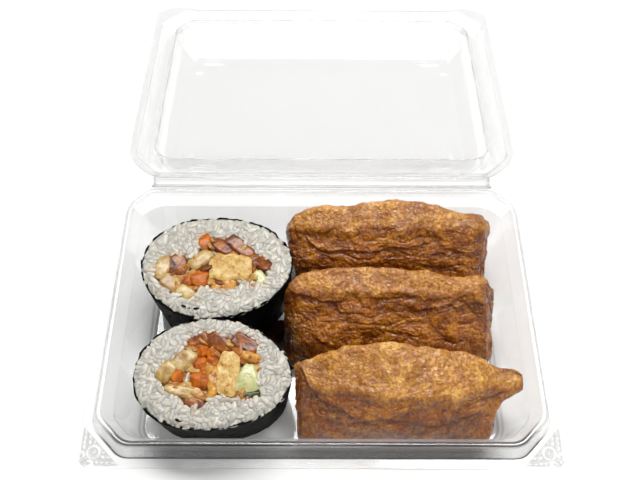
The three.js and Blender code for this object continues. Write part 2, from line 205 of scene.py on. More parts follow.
def finishMaterial(mat, shader):
    node(mat, "OutputMaterial", Surface=shader.outputs[0])
    return mat


def colourRamp(mat, source, stops):
    ramp = node(mat, "ValToRGB", Fac=source)
    elements = ramp.color_ramp.elements
    while len(elements) < len(stops):
        elements.new(0.5)
    for element, (place, colour) in zip(elements, stops):
        element.position = place
        element.color = linear(colour)
    return ramp.outputs["Color"]


def noiseNode(mat, scaleMm, detail=3, roughness=0.55, distortion=0.0):
    # procedural noise whose features are about scaleMm across, in object coordinates (metres)
    where = node(mat, "TexCoord").outputs["Object"]
    return node(
        mat, "TexNoise", Vector=where, Scale=1 / (scaleMm * mm), Detail=detail,
        Roughness=roughness, Distortion=distortion,
    ).outputs["Fac"]


def mixColour(mat, share, first, second):
    sockets = {0: share, 6: first, 7: second}
    return node(mat, "Mix", {"data_type": "RGBA"}, sockets).outputs[2]


def mathNode(mat, operation, *values):
    return node(mat, "Math", {"operation": operation}, dict(enumerate(values))).outputs[0]


def attributeNode(mat, name):
    return node(mat, "Attribute", {"attribute_name": name}).outputs["Fac"]


def bumpNode(mat, height, strength, distanceMm):
    bump = node(mat, "Bump", Height=height, Strength=strength, Distance=distanceMm * mm)
    return bump.outputs["Normal"]


def foodShader(mat, colour, normal, roughness, coat=0.0, subsurface=0.0, radius=(1.0, 0.5, 0.25), ior=1.4):
    return finishMaterial(mat, node(
        mat, "BsdfPrincipled", Base_Color=colour, Normal=normal, Roughness=roughness, IOR=ior,
        Coat_Weight=coat, Coat_Roughness=0.18, Subsurface_Weight=subsurface, Subsurface_Radius=radius,
        Subsurface_Scale=mm,
    ))


# metres, degrees and watts; the sky runs from dark behind the viewer to bright overhead and beyond the box
stage = {
    "lens": 43.1, "eye": (-0.00166, -0.1246, 0.27413), "turns": ((-0.37, "Z"), (31.9, "X"), (0.54, "Z")),
    "floorReach": 4.0, "floorZ": -0.0002, "floorColour": "#eeeeed", "floorRoughness": 0.9,
    "skySlope": (0.1, 0.45, 0.75), "skyStrength": 0.48,
    "sky": [(0.2, "#4c4b4a"), (0.5, "#8e8d8b"), (0.8, "#ffffff")],
    "lamps": (
        ("back_box", (0.08, 0.29, 0.86), (0.7, 0.2), 8.2),
        ("front_box", (0.02, -0.5, 0.52), (0.12, 0.05), 0.9),
    ),
}


def makeStage():
    # camera in front and above, looking down at 58 degrees
    data = bpy.data.cameras.new("camera")
    data.sensor_width = 36
    data.lens = stage["lens"]
    data.clip_start = 0.01
    scene.camera = addObject("camera", data)
    turn = Matrix.Identity(4)
    for degrees, axis in stage["turns"]:
        turn = turn @ Matrix.Rotation(radians(degrees), 4, axis)
    scene.camera.matrix_world = Matrix.Translation(stage["eye"]) @ turn

    floorMesh = bpy.data.meshes.new("floor")
    r, z = stage["floorReach"], stage["floorZ"]
    floorMesh.from_pydata([(-r, -r, z), (r, -r, z), (r, r, z), (-r, r, z)], [], [(0, 1, 2, 3)])
    white = newMaterial("white_table")
    floorMesh.materials.append(finishMaterial(white, node(
        white, "BsdfPrincipled", Base_Color=stage["floorColour"], Roughness=stage["floorRoughness"],
    )))
    addObject("floor", floorMesh)

    # sky colour by how far a direction leans along the slope: 0.5 (direction . slope) + 0.5
    world = bpy.data.worlds.new("studio")
    scene.world = world
    world.use_nodes = True
    background = world.node_tree.nodes["Background"]
    where = node(world, "TexCoord").outputs["Generated"]
    slope = node(
        world, "VectorMath", {"operation": "DOT_PRODUCT"}, {0: where, 1: stage["skySlope"]},
    )
    share = mathNode(world, "MULTIPLY_ADD", slope.outputs["Value"], 0.5, 0.5)
    world.node_tree.links.new(colourRamp(world, share, stage["sky"]), background.inputs["Color"])
    background.inputs["Strength"].default_value = stage["skyStrength"]

    for name, place, size, watts in stage["lamps"]:
        light = bpy.data.lights.new(name, "AREA")
        light.shape = "RECTANGLE"
        light.size, light.size_y = size
        light.energy = watts
        lamp = addObject(name, light)
        lamp.location = place
        lamp.rotation_euler = (-Vector(place)).to_track_quat("-Z", "Y").to_euler()  # aimed at the tray
    scene.view_settings.view_transform = "Standard"
    scene.view_settings.look = "None"
    scene.render.film_transparent = False


# waves: size, strength and height in mm of the sheet's slight unevenness; plain: share seen straight through
plastic = {
    "waves": (9, 0.12, 0.25), "roughness": (0.04, 0.4), "ior": 1.46, "plain": 0.4,
    "frostTint": "#a2a2a2", "shadeTint": "#303030", "through": "#fdfdfd",
}


def clearPlastic():
    # Thermoformed clear sheet: glass-smooth, so it shows as pale lines where it bends and mirrors the light.
    mat = newMaterial("clear_thermoformed_plastic")
    # edge: share of painted shade in the sheet's colour, from dark lines at the bends, the front ridge's slope
    # and the floor
    frost, edge = attributeNode(mat, "frost"), attributeNode(mat, "edge")
    scale, strength, height = plastic["waves"]
    waves = bumpNode(mat, noiseNode(mat, scale, 2), strength, height)
    smooth, rough = plastic["roughness"]
    roughness = node(mat, "MapRange", Value=frost, To_Min=smooth, To_Max=rough)
    # the embossed marks scatter the light and look greyer
    tint = mixColour(mat, frost, "#ffffff", plastic["frostTint"])
    # painted shade: the sheet's colour is darkened at its bends, where light leaves it sideways, on the front
    # ridge's outer slope and over the tray's floor
    tint = mixColour(mat, edge, tint, plastic["shadeTint"])
    glass = node(
        mat, "BsdfPrincipled", Base_Color=tint, Normal=waves, Roughness=roughness.outputs[0],
        IOR=plastic["ior"], Transmission_Weight=1.0,
    )
    through = node(mat, "BsdfTransparent", Color=plastic["through"])
    path = node(mat, "LightPath")
    lamps = mathNode(mat, "MAXIMUM", path.outputs["Is Shadow Ray"], path.outputs["Is Diffuse Ray"])
    # so thin a sheet hardly bends what is seen through it
    plain = mathNode(mat, "MULTIPLY_ADD", edge, -plastic["plain"], plastic["plain"])
    share = mathNode(mat, "MAXIMUM", lamps, plain)
    sockets = {0: share, 1: glass.outputs[0], 2: through.outputs[0]}
    return finishMaterial(mat, node(mat, "MixShader", sockets=sockets))


def curve(t, start, vertex, end):
    # (1-t)^2 A + 2t(1-t) V + t^2 B
    return (1 - t) ** 2 * start + 2 * t * (1 - t) * vertex + t * t * end


def roundedLoop(corners, reach, bendPoints, runPoints):
    # closed polygons (..., n, k) with their vertices rounded by the curve and straight runs between
    def cut(other):
        way = other - corners
        length = np.maximum(np.linalg.norm(way, axis=-1, keepdims=True), 1e-6)
        return corners + way * np.minimum(reach / length, 0.45)
    a, b = cut(np.roll(corners, 1, -2)), cut(np.roll(corners, -1, -2))
    t = np.linspace(0, 1, bendPoints)[:, None]
    parts = []
    for i in range(corners.shape[-2]):
        start, vertex, end = (p[..., i, None, :] for p in (a, corners, b))
        parts.append(curve(t, start, vertex, end))
        s = np.linspace(0, 1, runPoints[i] + 2)[1:-1, None]
        parts.append(end * (1 - s) + np.roll(a, -1, -2)[..., i, None, :] * s)
    return np.concatenate(parts, -2)


def roundedPath(points, reach, steps):
    # an open path with its inner vertices rounded by the same curve
    points = np.array(points, float)
    parts = [points[:1]]
    t = np.linspace(0, 1, steps)[:, None]
    for before, vertex, after in zip(points[:-2], points[1:-1], points[2:]):
        into, out = before - vertex, after - vertex
        a = vertex + into * min(reach / np.linalg.norm(into), 0.45)
        b = vertex + out * min(reach / np.linalg.norm(out), 0.45)
        parts.append(curve(t, a, vertex, b))
    return np.concatenate(parts + [points[-1:]])


def offsetPath(path, distance):
    # the path moved square to its run in its first two coordinates, to the left
    run = np.gradient(path[:, :2], axis=0)
    run /= np.linalg.norm(run, axis=1, keepdims=True)
    moved = path.copy()
    moved[:, 0] -= run[:, 1] * distance
    moved[:, 1] += run[:, 0] * distance
    return moved


# what tray and lid share, in mm; cutShrink is how much a 45 degree corner shortens for each mm of inset
box = {
    "width": 160.0, "depth": 112.7, "sheet": 0.5, "flangeZ": 24.5, "flangeWidth": 3.2, "cut": 11.0,
    "cutShrink": 2 - 2**0.5, "cutLeast": 2, "radius": 3, "bendPoints": 8, "longRun": 60, "cutRun": 26,
    "profileRadius": 0.6, "profileSteps": 6,
}


def boxRing(half, front, back, frontCut, backCut, radius):
    # corner-cut rectangle, counter-clockwise seen from above
    corners = np.array([
        [half, front + frontCut], [half, back - backCut], [half - backCut, back], [backCut - half, back],
        [-half, back - backCut], [-half, front + frontCut], [frontCut - half, front], [half - frontCut, front],
    ])
    runs = [box["longRun"], box["cutRun"]] * 4
    return roundedLoop(corners, radius, box["bendPoints"], runs)


def cutAt(inset, start):
    return max(box["cut"] - box["cutShrink"] * (inset - start), box["cutLeast"])


def frontCutAt(inset, flat, corner):
    # at the front the flange's corners are cut less than the box's own: flat goes from 0 at the edge to 1
    return corner * (1 - flat) + box["cut"] * flat if flat < 1 else cutAt(inset, box["flangeWidth"])


def shellPiece(name, under, over, mat):
    # a closed sheet: rings outward along the underside, then inward along the upper side, with both ends fanned
    rings = np.array(under[::-1] + over)
    verts = withEnds(rings)
    piece = makePiece(name, verts[:, :3], cappedFaces(*rings.shape[:2]), mat)
    addAttributes(piece, frost=verts[:, 3], edge=verts[:, 4])
    return piece


# relief of the two square front corners, in mm: reach and rim bound it, middle is the ring's distance from both
# edges; frost and height are for the whole field and for what stands up from it
tab = {
    "radius": 3.0, "reach": (15.2, 14.2), "rim": (0.5, 1.1), "middle": 5.2, "dotPitch": 1.7,
    "dotsFrom": (2.6, 3.1), "ring": (2.0, 0.45), "dot": (0.0, 0.6), "barPitch": 1.8, "barsAt": 5.4,
    "barEnds": (2.4, 1.8), "barsBeyond": 3, "barsClear": 2.8, "frost": (0.9, 0.7), "height": (0.3, 0.5),
}


def dotField(x, y, pitch):
    # staggered round bumps: cos u cos v along the two diagonals, cut off below
    u, v = (x + y) * pi / pitch, (x - y) * pi / pitch
    return ease(0.1, 0.9, np.cos(u) * np.cos(v))


def tabRelief(ring):
    # dots, with a ring and a few slanted bars in the middle
    x, y = np.abs(ring[:, 0]), ring[:, 1]
    side, front = box["width"] / 2 - x, y + box["depth"] / 2
    inside = ease(*tab["reach"], side + front) * ease(*tab["rim"], np.minimum(side, front))
    near = np.hypot(side - tab["middle"], front - tab["middle"])
    dots = dotField(side, front, tab["dotPitch"]) * ease(*tab["dotsFrom"], near)
    circle = bell(near, *tab["ring"]) + bell(near, *tab["dot"])
    bars = ease(0.3, 0.8, np.cos((side - front) * 2 * pi / tab["barPitch"]))
    bars = bars * (side + front > tab["barsBeyond"]) * (near > tab["barsClear"])
    bars = bars * ease(*tab["barEnds"], np.abs(side + front - tab["barsAt"]))
    raised = inside * np.maximum(np.maximum(dots * (bars < 0.01), circle), bars)
    frost = tab["frost"][0] * inside - tab["frost"][1] * raised
    return frost, tab["height"][1] * raised - tab["height"][0] * inside


# profile rows are inset from the edge and height, the ridge's above the flange and the wall's above the table;
# sharp is the turn in degrees from row to row that draws a full painted dark line; floorShade: where the
# painted shade over the floor sheet starts and is full, and its strength
tray = {
    "flangeEnd": 3.0, "flangeRows": 26, "sharp": 9, "footInset": 12, "floorShade": (13.0, 15.0, 0.12),
    "ridge": [
        (3.05, 0), (3.2, 0), (3.9, 1.9), (4.5, 3.5), (5.2, 5.4), (5.7, 5.9), (6.8, 5.9), (7.3, 5.4), (8.6, 2.6),
        (10, -0.4),
    ],
    "wall": [(13.3, 4.2), (14.0, 1.6), (15.4, 0.55), (19.4, 0.55)],
    "front": (-42, -48), "slopeFrom": (3.1, 3.5), "slopeTo": (5.3, 4.9), "slopeEnds": (66, 48),
    "frontShare": (0.85, 0.9), "bendShare": 0.12, "footShare": 0.38,
}


def trayRing(inset, z, bend):
    flat = min(inset / box["flangeWidth"], 1)
    half, y = box["width"] / 2 - inset, box["depth"] / 2 - inset
    ring = boxRing(half, -y, y, frontCutAt(inset, flat, tab["radius"]), cutAt(inset, 0), box["radius"])
    frost, raised = tabRelief(ring) if flat < 1 else (0, 0)
    # painted shade and reflection: the outer slope of the front ridge is darkened for the food's shadow seen
    # through it and the dark things mirrored in it
    x, front = np.abs(ring[:, 0]), ease(*tray["front"], ring[:, 1])
    shaded = ease(*tray["slopeFrom"], inset) * ease(*tray["slopeTo"], inset)
    shaded = shaded * ease(*tray["slopeEnds"], x)
    # painted dark lines at the bends and all round the wall's foot, and painted shade over the floor sheet
    foot = float(inset > tray["footInset"])
    start, end, floorShade = tray["floorShade"]
    floorShade = floorShade * ease(start, end, inset)
    lines = (tray["bendShare"] + tray["footShare"] * foot) * bend
    slope, edges = tray["frontShare"]
    edge = np.clip(front * (1 - foot) * (slope * shaded + edges * bend) + lines + floorShade, 0, 1)
    return np.column_stack([ring, np.full(len(ring), z) + raised, np.zeros(len(ring)) + frost, edge])


def makeTray(mat):
    z = box["flangeZ"]
    flange = [(inset, z) for inset in np.linspace(0, tray["flangeEnd"], tray["flangeRows"])]
    upper = [(inset, z + rise) for inset, rise in tray["ridge"]] + tray["wall"]
    upper = roundedPath(upper, box["profileRadius"], box["profileSteps"])
    profile = np.concatenate([flange, upper[1:]])
    lower = offsetPath(profile, -box["sheet"])
    run = np.arctan2(*np.diff(profile, axis=0).T[::-1])
    bends = np.clip(np.abs(np.pad(np.diff(run), 1)) / radians(tray["sharp"]), 0, 1)
    over = [trayRing(i, h, bend) for (i, h), bend in zip(profile, bends)]
    under = [trayRing(max(i, 0), h, bend) for (i, h), bend in zip(lower, bends)]
    piece = shellPiece("clear_tray", under, over, mat)
    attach(piece, "tray")
    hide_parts("tray")


# in mm, as the lid lies closed over the tray; lug: where the raised stacking lugs in the panel's corners start
# and fade, and their height; dip: degrees by which the open lid hangs below level
lid = {
    "depth": 15.5, "gap": 0.3, "panelSide": 17.5, "panelFront": 20.0, "panelBack": 18.0, "frontReturn": 1.9,
    "returnEnds": (66, 60), "tabRadius": 6.0, "tabCut": 4.5, "flangeWidth": 2.94, "flangeEnd": 2.25,
    "flangeRows": 10, "floor": (19, 34, 36), "hinge": (58.48, 24.65), "dip": 5.336,
    "lug": {"along": (16, 12, 5.8, 4.0), "across": (13, 10, 6.2, 4.4), "rim": (0.4, 1.8), "height": 0.4},
}


def lidRing(inset, z, share):
    # share: how far a ring has gone from the flange's even insets to the panel's own
    side = inset + share * (lid["panelSide"] - lid["panelBack"])
    front = inset + share * (lid["panelFront"] - lid["panelBack"])
    y = box["depth"] / 2
    flat = min(inset / lid["flangeWidth"], 1)
    # the flange's front corners are rounded lift tabs, and its front edge stands back between them
    frontCut = frontCutAt(inset, flat, lid["tabCut"])
    radius = box["radius"] + (lid["tabRadius"] - box["radius"]) * (1 - flat)
    ring = boxRing(box["width"] / 2 - side, front - y, y - inset, frontCut, cutAt(inset, 0), radius)
    atFront = (ring[:, 1] < 5 - y) * ease(*lid["returnEnds"], np.abs(ring[:, 0]))
    ring[:, 1] += lid["frontReturn"] * (1 - flat) * atFront
    raised = np.zeros(len(ring))
    if share >= 1:
        dx = box["width"] / 2 - lid["panelSide"] - np.abs(ring[:, 0])
        dy = np.minimum(ring[:, 1] + y - lid["panelFront"], y - lid["panelBack"] - ring[:, 1])
        lug = lid["lug"]
        for (far, fade, wide, narrow), long, short in ((lug["along"], dx, dy), (lug["across"], dy, dx)):
            bump = ease(far, fade, long) * ease(wide, narrow, short) * ease(*lug["rim"], short)
            raised = np.maximum(raised, lug["height"] * bump)
    return np.column_stack([ring, z - raised, np.zeros((len(ring), 2))])


def makeLid(mat):
    z = box["flangeZ"]
    seat, panel = z + lid["gap"], z + lid["depth"]
    # inset from the edge, height and share, from the flange over the ridge and up the stepped wall to the panel
    inner = [
        (0, seat, 0), (2.94, seat, 0), (4.94, seat + 5.45, 0), (5.5, seat + 5.95, 0), (6.95, seat + 5.95, 0),
        (7.55, seat + 5.4, 0), (10.1, seat - 0.05, 0), (10.6, seat - 0.05, 0), (10.9, seat + 0.3, 0),
        (11.8, z + 9, 0.03), (12.2, z + 10.2, 0.12), (17, panel - 0.9, 0.9), (18, panel, 1), (18.6, panel, 1),
    ]
    profile = roundedPath(inner, box["profileRadius"], box["profileSteps"])
    rows = lid["flangeRows"]
    flange = np.column_stack([np.linspace(0, lid["flangeEnd"], rows), np.full(rows, seat), np.zeros(rows)])
    start, end, rows = lid["floor"]
    floor = np.column_stack([np.linspace(start, end, rows), np.full(rows, panel), np.ones(rows)])
    profile = np.concatenate([flange, profile[1:], floor])
    outer = offsetPath(profile, box["sheet"])
    under = [lidRing(i, h, s) for i, h, s in profile]
    over = [lidRing(max(i, 0), h, s) for i, h, s in outer]
    piece = shellPiece("clear_lid", under, over, mat)
    # opened: turned back about the hinge
    y, h = lid["hinge"]
    turn = Matrix.Translation((0, y * mm, h * mm)) @ Matrix.Rotation(-pi - radians(lid["dip"]), 4, "X")
    piece.data.transform(turn @ Matrix.Translation((0, -y * mm, -h * mm)))
    piece.data.update()
    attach(piece, "lid")
    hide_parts("lid")


# middle: Y and Z of the strip's middle line in mm
hinge = {
    "middle": [
        (55.6, 24.2), (56.9, 24.1), (57.3, 22.9), (58.5, 22.55), (59.8, 22.9), (60.2, 24.0), (61.4, 24.15),
    ],
    "bend": 0.7, "steps": 7, "halfSheet": 0.22, "halfLength": 68, "columns": 35, "frost": 0.4,
}


def makeHinge(mat):
    # a thin strip that leaves the tray's flange, folds down in a half round and meets the lid's flange
    middle = roundedPath(hinge["middle"], hinge["bend"], hinge["steps"])
    half = hinge["halfSheet"]
    loop = np.concatenate([offsetPath(middle, half), offsetPath(middle, -half)[::-1]])
    columns, count = hinge["columns"], len(loop)
    x = np.linspace(-hinge["halfLength"], hinge["halfLength"], columns)
    verts = np.column_stack([np.repeat(x, count), np.tile(loop, (columns, 1))])
    strip = np.arange(count // 2 - 1)
    ends = np.stack([strip, strip + 1, count - 2 - strip, count - 1 - strip], -1)
    ends = np.concatenate([ends, (ends + (columns - 1) * count)[:, ::-1]])
    piece = makePiece("clear_hinge", verts, [gridFaces(columns, count)[:, ::-1], ends], mat)
    fixNormals(piece)
    addAttributes(piece, frost=np.full(len(piece.data.vertices), hinge["frost"]))
    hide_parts("hinge_strip")
    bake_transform(piece)


# each slice in mm; tuck: degrees where the sheet's inner end starts and stops, and its share of the way out at
# both; fillings: name, middle, half sizes and turn in degrees
foodFloor = 0.85
rolls = {
    "roll_back": {
        "x": -39.0, "y": 16.9, "top": 29.5, "a": 28.3, "b": 21.4, "wave": 0.02, "phase": 0.6, "slope": 0.03,
        "footShift": 0.4, "footScale": 0.9, "seed": 3, "tuck": (243, 259, 0.875, 0.835),
        "fillings": [
            ("egg", -33.7, 15.6, 7.3, 4.7, 0), ("shiitake_1", -37.6, 24.9, 3.2, 1.3, -34),
            ("shiitake_2", -30.3, 24.6, 5.0, 1.5, -40), ("shiitake_3", -22.6, 18.6, 3.6, 1.5, -39),
            ("carrot_1", -43.9, 27.4, 2.9, 1.5, -82), ("carrot_2", -44.7, 12.2, 2.5, 2.9, 0),
            ("carrot_3", -49.3, 10.4, 1.3, 1.6, 0), ("gourd_1", -45.0, 19.4, 3.9, 1.9, 40),
            ("gourd_2", -58.8, 15.7, 3.6, 1.9, 73), ("gourd_3", -55.2, 9.4, 3.0, 1.8, -41),
            ("shiitake_4", -53.2, 17.4, 2.3, 2.7, 0), ("gourd_4", -49.2, 5.7, 2.7, 1.4, -25),
            ("amber", -35.6, 8.3, 4.0, 1.2, 0), ("cucumber", -23.2, 12.0, 2.2, 2.4, 0),
        ],
    },
    "roll_front": {
        "x": -37.8, "y": -25.2, "top": 28.5, "a": 27.5, "b": 19.8, "wave": 0.022, "phase": 2.2, "slope": 0.11,
        "footShift": 2.1, "footScale": 0.905, "seed": 9, "tuck": (239, 261, 0.865, 0.915),
        "fillings": [
            ("shiitake_1", -43.2, -13.1, 2.3, 1.0, 19), ("shiitake_2", -35.6, -14.3, 4.0, 1.6, -33),
            ("shiitake_3", -26.7, -14.5, 3.7, 1.5, -24), ("amber_1", -24.6, -19.4, 2.8, 0.8, -19),
            ("carrot_1", -41.7, -16.9, 1.6, 1.7, 0), ("carrot_2", -37.9, -17.8, 1.3, 0.9, 0),
            ("carrot_3", -41.6, -22.1, 1.7, 2.3, 0), ("carrot_4", -37.4, -21.1, 1.7, 1.1, 0),
            ("carrot_5", -41.4, -27.7, 2.3, 2.1, 0), ("carrot_6", -49.3, -25.9, 1.2, 1.6, 0),
            ("gourd_1", -47.1, -20.4, 4.0, 2.1, 54), ("gourd_2", -53.2, -24.9, 2.9, 2.0, 58),
            ("amber_2", -36.9, -27.8, 1.1, 4.3, 0), ("egg", -31.8, -25.5, 3.3, 7.1, 0),
            ("cucumber", -24.8, -26.7, 2.9, 4.2, 0), ("cucumber_skin", -24.2, -32.7, 3.4, 0.7, 10),
            ("gourd_3", -45.6, -31.9, 6.2, 1.1, -15), ("shiitake_4", -42.6, -35.6, 2.1, 0.9, -14),
        ],
    },
}


def waviness(roll, angle):
    return 1 + roll["wave"] * np.sin(3 * angle + roll["phase"])


def rollShare(roll, x, y):
    # how far a point is from the roll's axis, as a share of the wavy oval: 1 on the oval itself
    dx, dy = (x - roll["x"]) / roll["a"], (y - roll["y"]) / roll["b"]
    return np.hypot(dx, dy) / waviness(roll, np.arctan2(dy, dx))


def rollRim(roll, angle, share):
    swell = share * waviness(roll, angle)
    return roll["x"] + roll["a"] * swell * np.cos(angle), roll["y"] + roll["b"] * swell * np.sin(angle)


def scaleAbout(roll, points, scale):
    # moves points straight towards or away from the roll's axis
    for i, centre in enumerate((roll["x"], roll["y"])):
        points[..., i] = centre + (points[..., i] - centre) * scale


def faceHeight(roll, x, y):
    # top + slope (y - y0) - 1.5 mm rounding at the rim + 0.45 mm swellings 7 mm wide
    rim = ease(0.86, 1.02, rollShare(roll, x, y))
    points = np.stack([x, y, np.full_like(x, roll["seed"] * 7.0)], -1)
    return roll["top"] + roll["slope"] * (y - roll["y"]) - 1.5 * rim + 0.45 * noise(points, 7.0, roll["seed"])


def lean(roll, points):
    # the slice narrows and shifts towards its foot
    rise = np.clip((points[..., 2] - foodFloor) / (roll["top"] - foodFloor), 0, 1)
    leaned = points.copy()
    scaleAbout(roll, leaned, roll["footScale"] + (1 - roll["footScale"]) * rise)
    leaned[..., 1] += roll["footShift"] * (1 - rise)
    return leaned


def fillingDistance(roll, x, y):
    # roughly how far each point is outside the nearest and the second nearest filling, in mm
    found = []
    for _, cx, cy, a, b, degrees in roll["fillings"]:
        c, s = cos(radians(degrees)), sin(radians(degrees))
        u, v = (x - cx) * c + (y - cy) * s, (y - cy) * c - (x - cx) * s
        f = (np.abs(u / a) ** 3.3 + np.abs(v / b) ** 3.3) ** 0.3
        found.append(np.hypot(u, v) * (1 - 1 / np.maximum(f, 0.2)))
    return np.sort(np.array(found), 0)[:2]


def zoneOf(roll, x, y):
    # 1 in the gaps between fillings that lie close together, 0 out in the plain rice
    first, second = fillingDistance(roll, x, y)
    return ease(6.0, 3.5, first + second) * ease(2.6, 1.4, first)


# rows of foot, wall and face; share of the way to the wrap; under the grains, and deeper still between fillings
core = {
    "columns": 200, "rows": (12, 10, 70), "share": 0.95, "rough": (0.22, 1.8), "under": 0.3, "sunk": 1.5,
    "footLift": 0.9, "stain": 0.9, "shade": 0.6,
}


def makeCore(name, roll, mat):
    # the pressed rice under the loose grains: foot, wall and face on one polar grid
    foot, wall, face = core["rows"]
    edge = core["share"] - 0.005
    shares = [np.linspace(0.02, edge, foot), np.full(wall, core["share"]), np.linspace(edge, 0.02, face)]
    rise = np.concatenate([np.zeros(foot), np.linspace(0.05, 0.95, wall), np.ones(face)])[:, None]
    x, y = rollRim(roll, roundAngles(core["columns"]), np.concatenate(shares)[:, None])
    points = np.stack([x, y, rise * 30 + 0 * x], -1)
    rough = relief(points, core["rough"], roll["seed"] + 5)
    top = faceHeight(roll, x, y) - core["under"] - core["sunk"] * zoneOf(roll, x, y) + rough
    low = foodFloor + core["footLift"] - rough
    points[..., 2] = low + (top - low) * rise
    verts = lean(roll, withEnds(points))
    piece = makePiece(name.replace("roll_", "rice_core_"), verts, cappedFaces(*x.shape), mat)
    stain = np.append(zoneOf(roll, x, y).ravel() * core["stain"], [0, 1])
    addAttributes(piece, stain=stain, shade=np.full(len(verts), core["shade"]))
    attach(piece, "tray")
    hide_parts(name + "_rice")


def grainTemplate(around, along, square=1.0, bend=0.0):
    # a grain along X with unit half sizes: radius (1 - |t|^2.4)^(1/2.2) at each station t, and a slight bend
    t = np.cos(np.linspace(0, pi, along + 2))[1:-1][:, None]
    r = (1 - np.abs(t) ** 2.4) ** (1 / 2.2)
    angle = roundAngles(around)
    y, z = r * power(np.cos(angle), square), r * power(np.sin(angle), square)
    x = t + 0 * y
    verts = np.stack([x, y + bend * (1 - x * x), z], -1).reshape(-1, 3)
    return np.concatenate([verts, [[1, 0, 0], [-1, 0, 0]]]), [f[:, ::-1] for f in cappedFaces(along, around)]


def turns(yaw, pitch, spin):
    # rotation matrices Rz(yaw) Ry(pitch) Rx(spin), one for each entry
    def about(angle, i, j):
        m = np.broadcast_to(np.eye(3), (len(angle), 3, 3)).copy()
        m[:, i, i] = m[:, j, j] = np.cos(angle)
        m[:, i, j], m[:, j, i] = -np.sin(angle), np.sin(angle)
        return m
    return about(yaw, 0, 1) @ about(pitch, 2, 0) @ about(spin, 1, 2)


def scatter(template, places, rotation, sizes):
    # copies of a template as one vertex array, and its faces: place + R (template x size)
    verts, faces = template
    placed = places[:, None] + np.einsum("nij,nvj->nvi", rotation, verts[None] * sizes[:, None])
    shift = (np.arange(len(places)) * len(verts))[:, None, None]
    return placed, [(f[None] + shift).reshape(-1, f.shape[1]) for f in faces]


def hexPoints(roll, pitch, jitter):
    # a staggered grid over the roll's oval with random jitter
    i, j = np.meshgrid(np.arange(-14, 15), np.arange(-14, 15))
    x = roll["x"] + (i + 0.5 * (j % 2)) * pitch + rng.uniform(-jitter, jitter, i.shape)
    y = roll["y"] + j * pitch * 0.866 + rng.uniform(-jitter, jitter, i.shape)
    return x.ravel(), y.ravel()


# half sizes and spacing in mm; layers: depth below the face, or above the foot where the flag is set
grain = {
    "half": (2.45, 1.15, 1.0), "around": 8, "along": 6, "square": 0.95, "bend": 0.12, "pitch": 2.15,
    "jitter": 0.75, "dip": 0.24, "sizes": (0.84, 1.12), "clear": 1.25, "reach": 0.965, "flat": 0.1,
    "squash": 0.16, "footReach": 0.955, "faceReach": (0.97, 1.005), "stain": (4.6, 1.2, 0.5),
    "layers": ((0.5, False), (0.8, False), (0.9, True)),
}


def riceLayer(roll, depth, foot):
    x, y = hexPoints(roll, grain["pitch"], grain["jitter"])
    first, second = fillingDistance(roll, x, y)
    zone = ease(6.0, 3.5, first + second) * (first < 2.6)
    keep = (rollShare(roll, x, y) < grain["reach"]) & (first > grain["clear"]) & ((zone < 0.5) | foot)
    x, y, first = x[keep], y[keep], first[keep]
    z = np.full(len(x), foodFloor + depth) if foot else faceHeight(roll, x, y) - depth
    count = len(x)
    rotation = turns(
        rng.uniform(0, 2 * pi, count), rng.normal(0, grain["dip"], count), rng.uniform(0, 2 * pi, count),
    )
    sizes = np.array(grain["half"]) * rng.uniform(*grain["sizes"], (count, 3))
    template = grainTemplate(grain["around"], grain["along"], grain["square"], grain["bend"])
    places = np.column_stack([x, y, z + rng.uniform(-0.3, 0.3, count)])
    verts, faces = scatter(template, places, rotation, sizes)
    # pressed flat at the foot or knife-flattened at the face, and held inside the wrap
    if foot:
        verts[..., 2] = np.maximum(verts[..., 2], foodFloor - 0.1)
        allowed = grain["footReach"]
    else:
        height = faceHeight(roll, verts[..., 0], verts[..., 1])
        limit = height + grain["flat"] + rng.uniform(-0.25, 0.15, (count, 1))
        over = verts[..., 2] - limit
        verts[..., 2] = np.where(over > 0, limit + grain["squash"] * over, verts[..., 2])
        allowed = rng.uniform(*grain["faceReach"], (count, 1)) - 0.02 * ease(0.3, 1.6, height - verts[..., 2])
    share = rollShare(roll, verts[..., 0], verts[..., 1])
    scaleAbout(roll, verts, np.minimum(1, allowed / np.maximum(share, 0.1)))
    far, near, strength = grain["stain"]
    stain = strength * ease(far, near, first) * rng.uniform(0.05, 1.0, count) ** 1.5
    shade = rng.uniform(0, 1, count)
    perGrain = len(template[0])
    return lean(roll, verts).reshape(-1, 3), faces, np.repeat(stain, perGrain), np.repeat(shade, perGrain)


def makeGrains(mat):
    layers = [riceLayer(roll, depth, foot) for roll in rolls.values() for depth, foot in grain["layers"]]
    verts, groups, stains, shades = zip(*layers)
    starts = np.cumsum([0] + [len(v) for v in verts])
    faces = [g + start for group, start in zip(groups, starts) for g in group]
    piece = makePiece("rice_grains", np.concatenate(verts), faces, mat)
    addAttributes(piece, stain=np.concatenate(stains), shade=np.concatenate(shades))
    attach(piece, "tray")
    print("rice grains:", starts[-1] // (grain["around"] * grain["along"] + 2))


# mm and radians; lap: where the sheet's outer end starts, how far it runs on over itself, and its step
nori = {
    "thick": 0.5, "columns": 420, "wallRows": 34, "innerRows": 12, "edge": 0.25, "ragged": (0.85, 2.8),
    "lap": (3.75, 0.75, 0.35), "crinkle": (0.16, 3.4), "wrinkle": (0.1, 5.0),
}


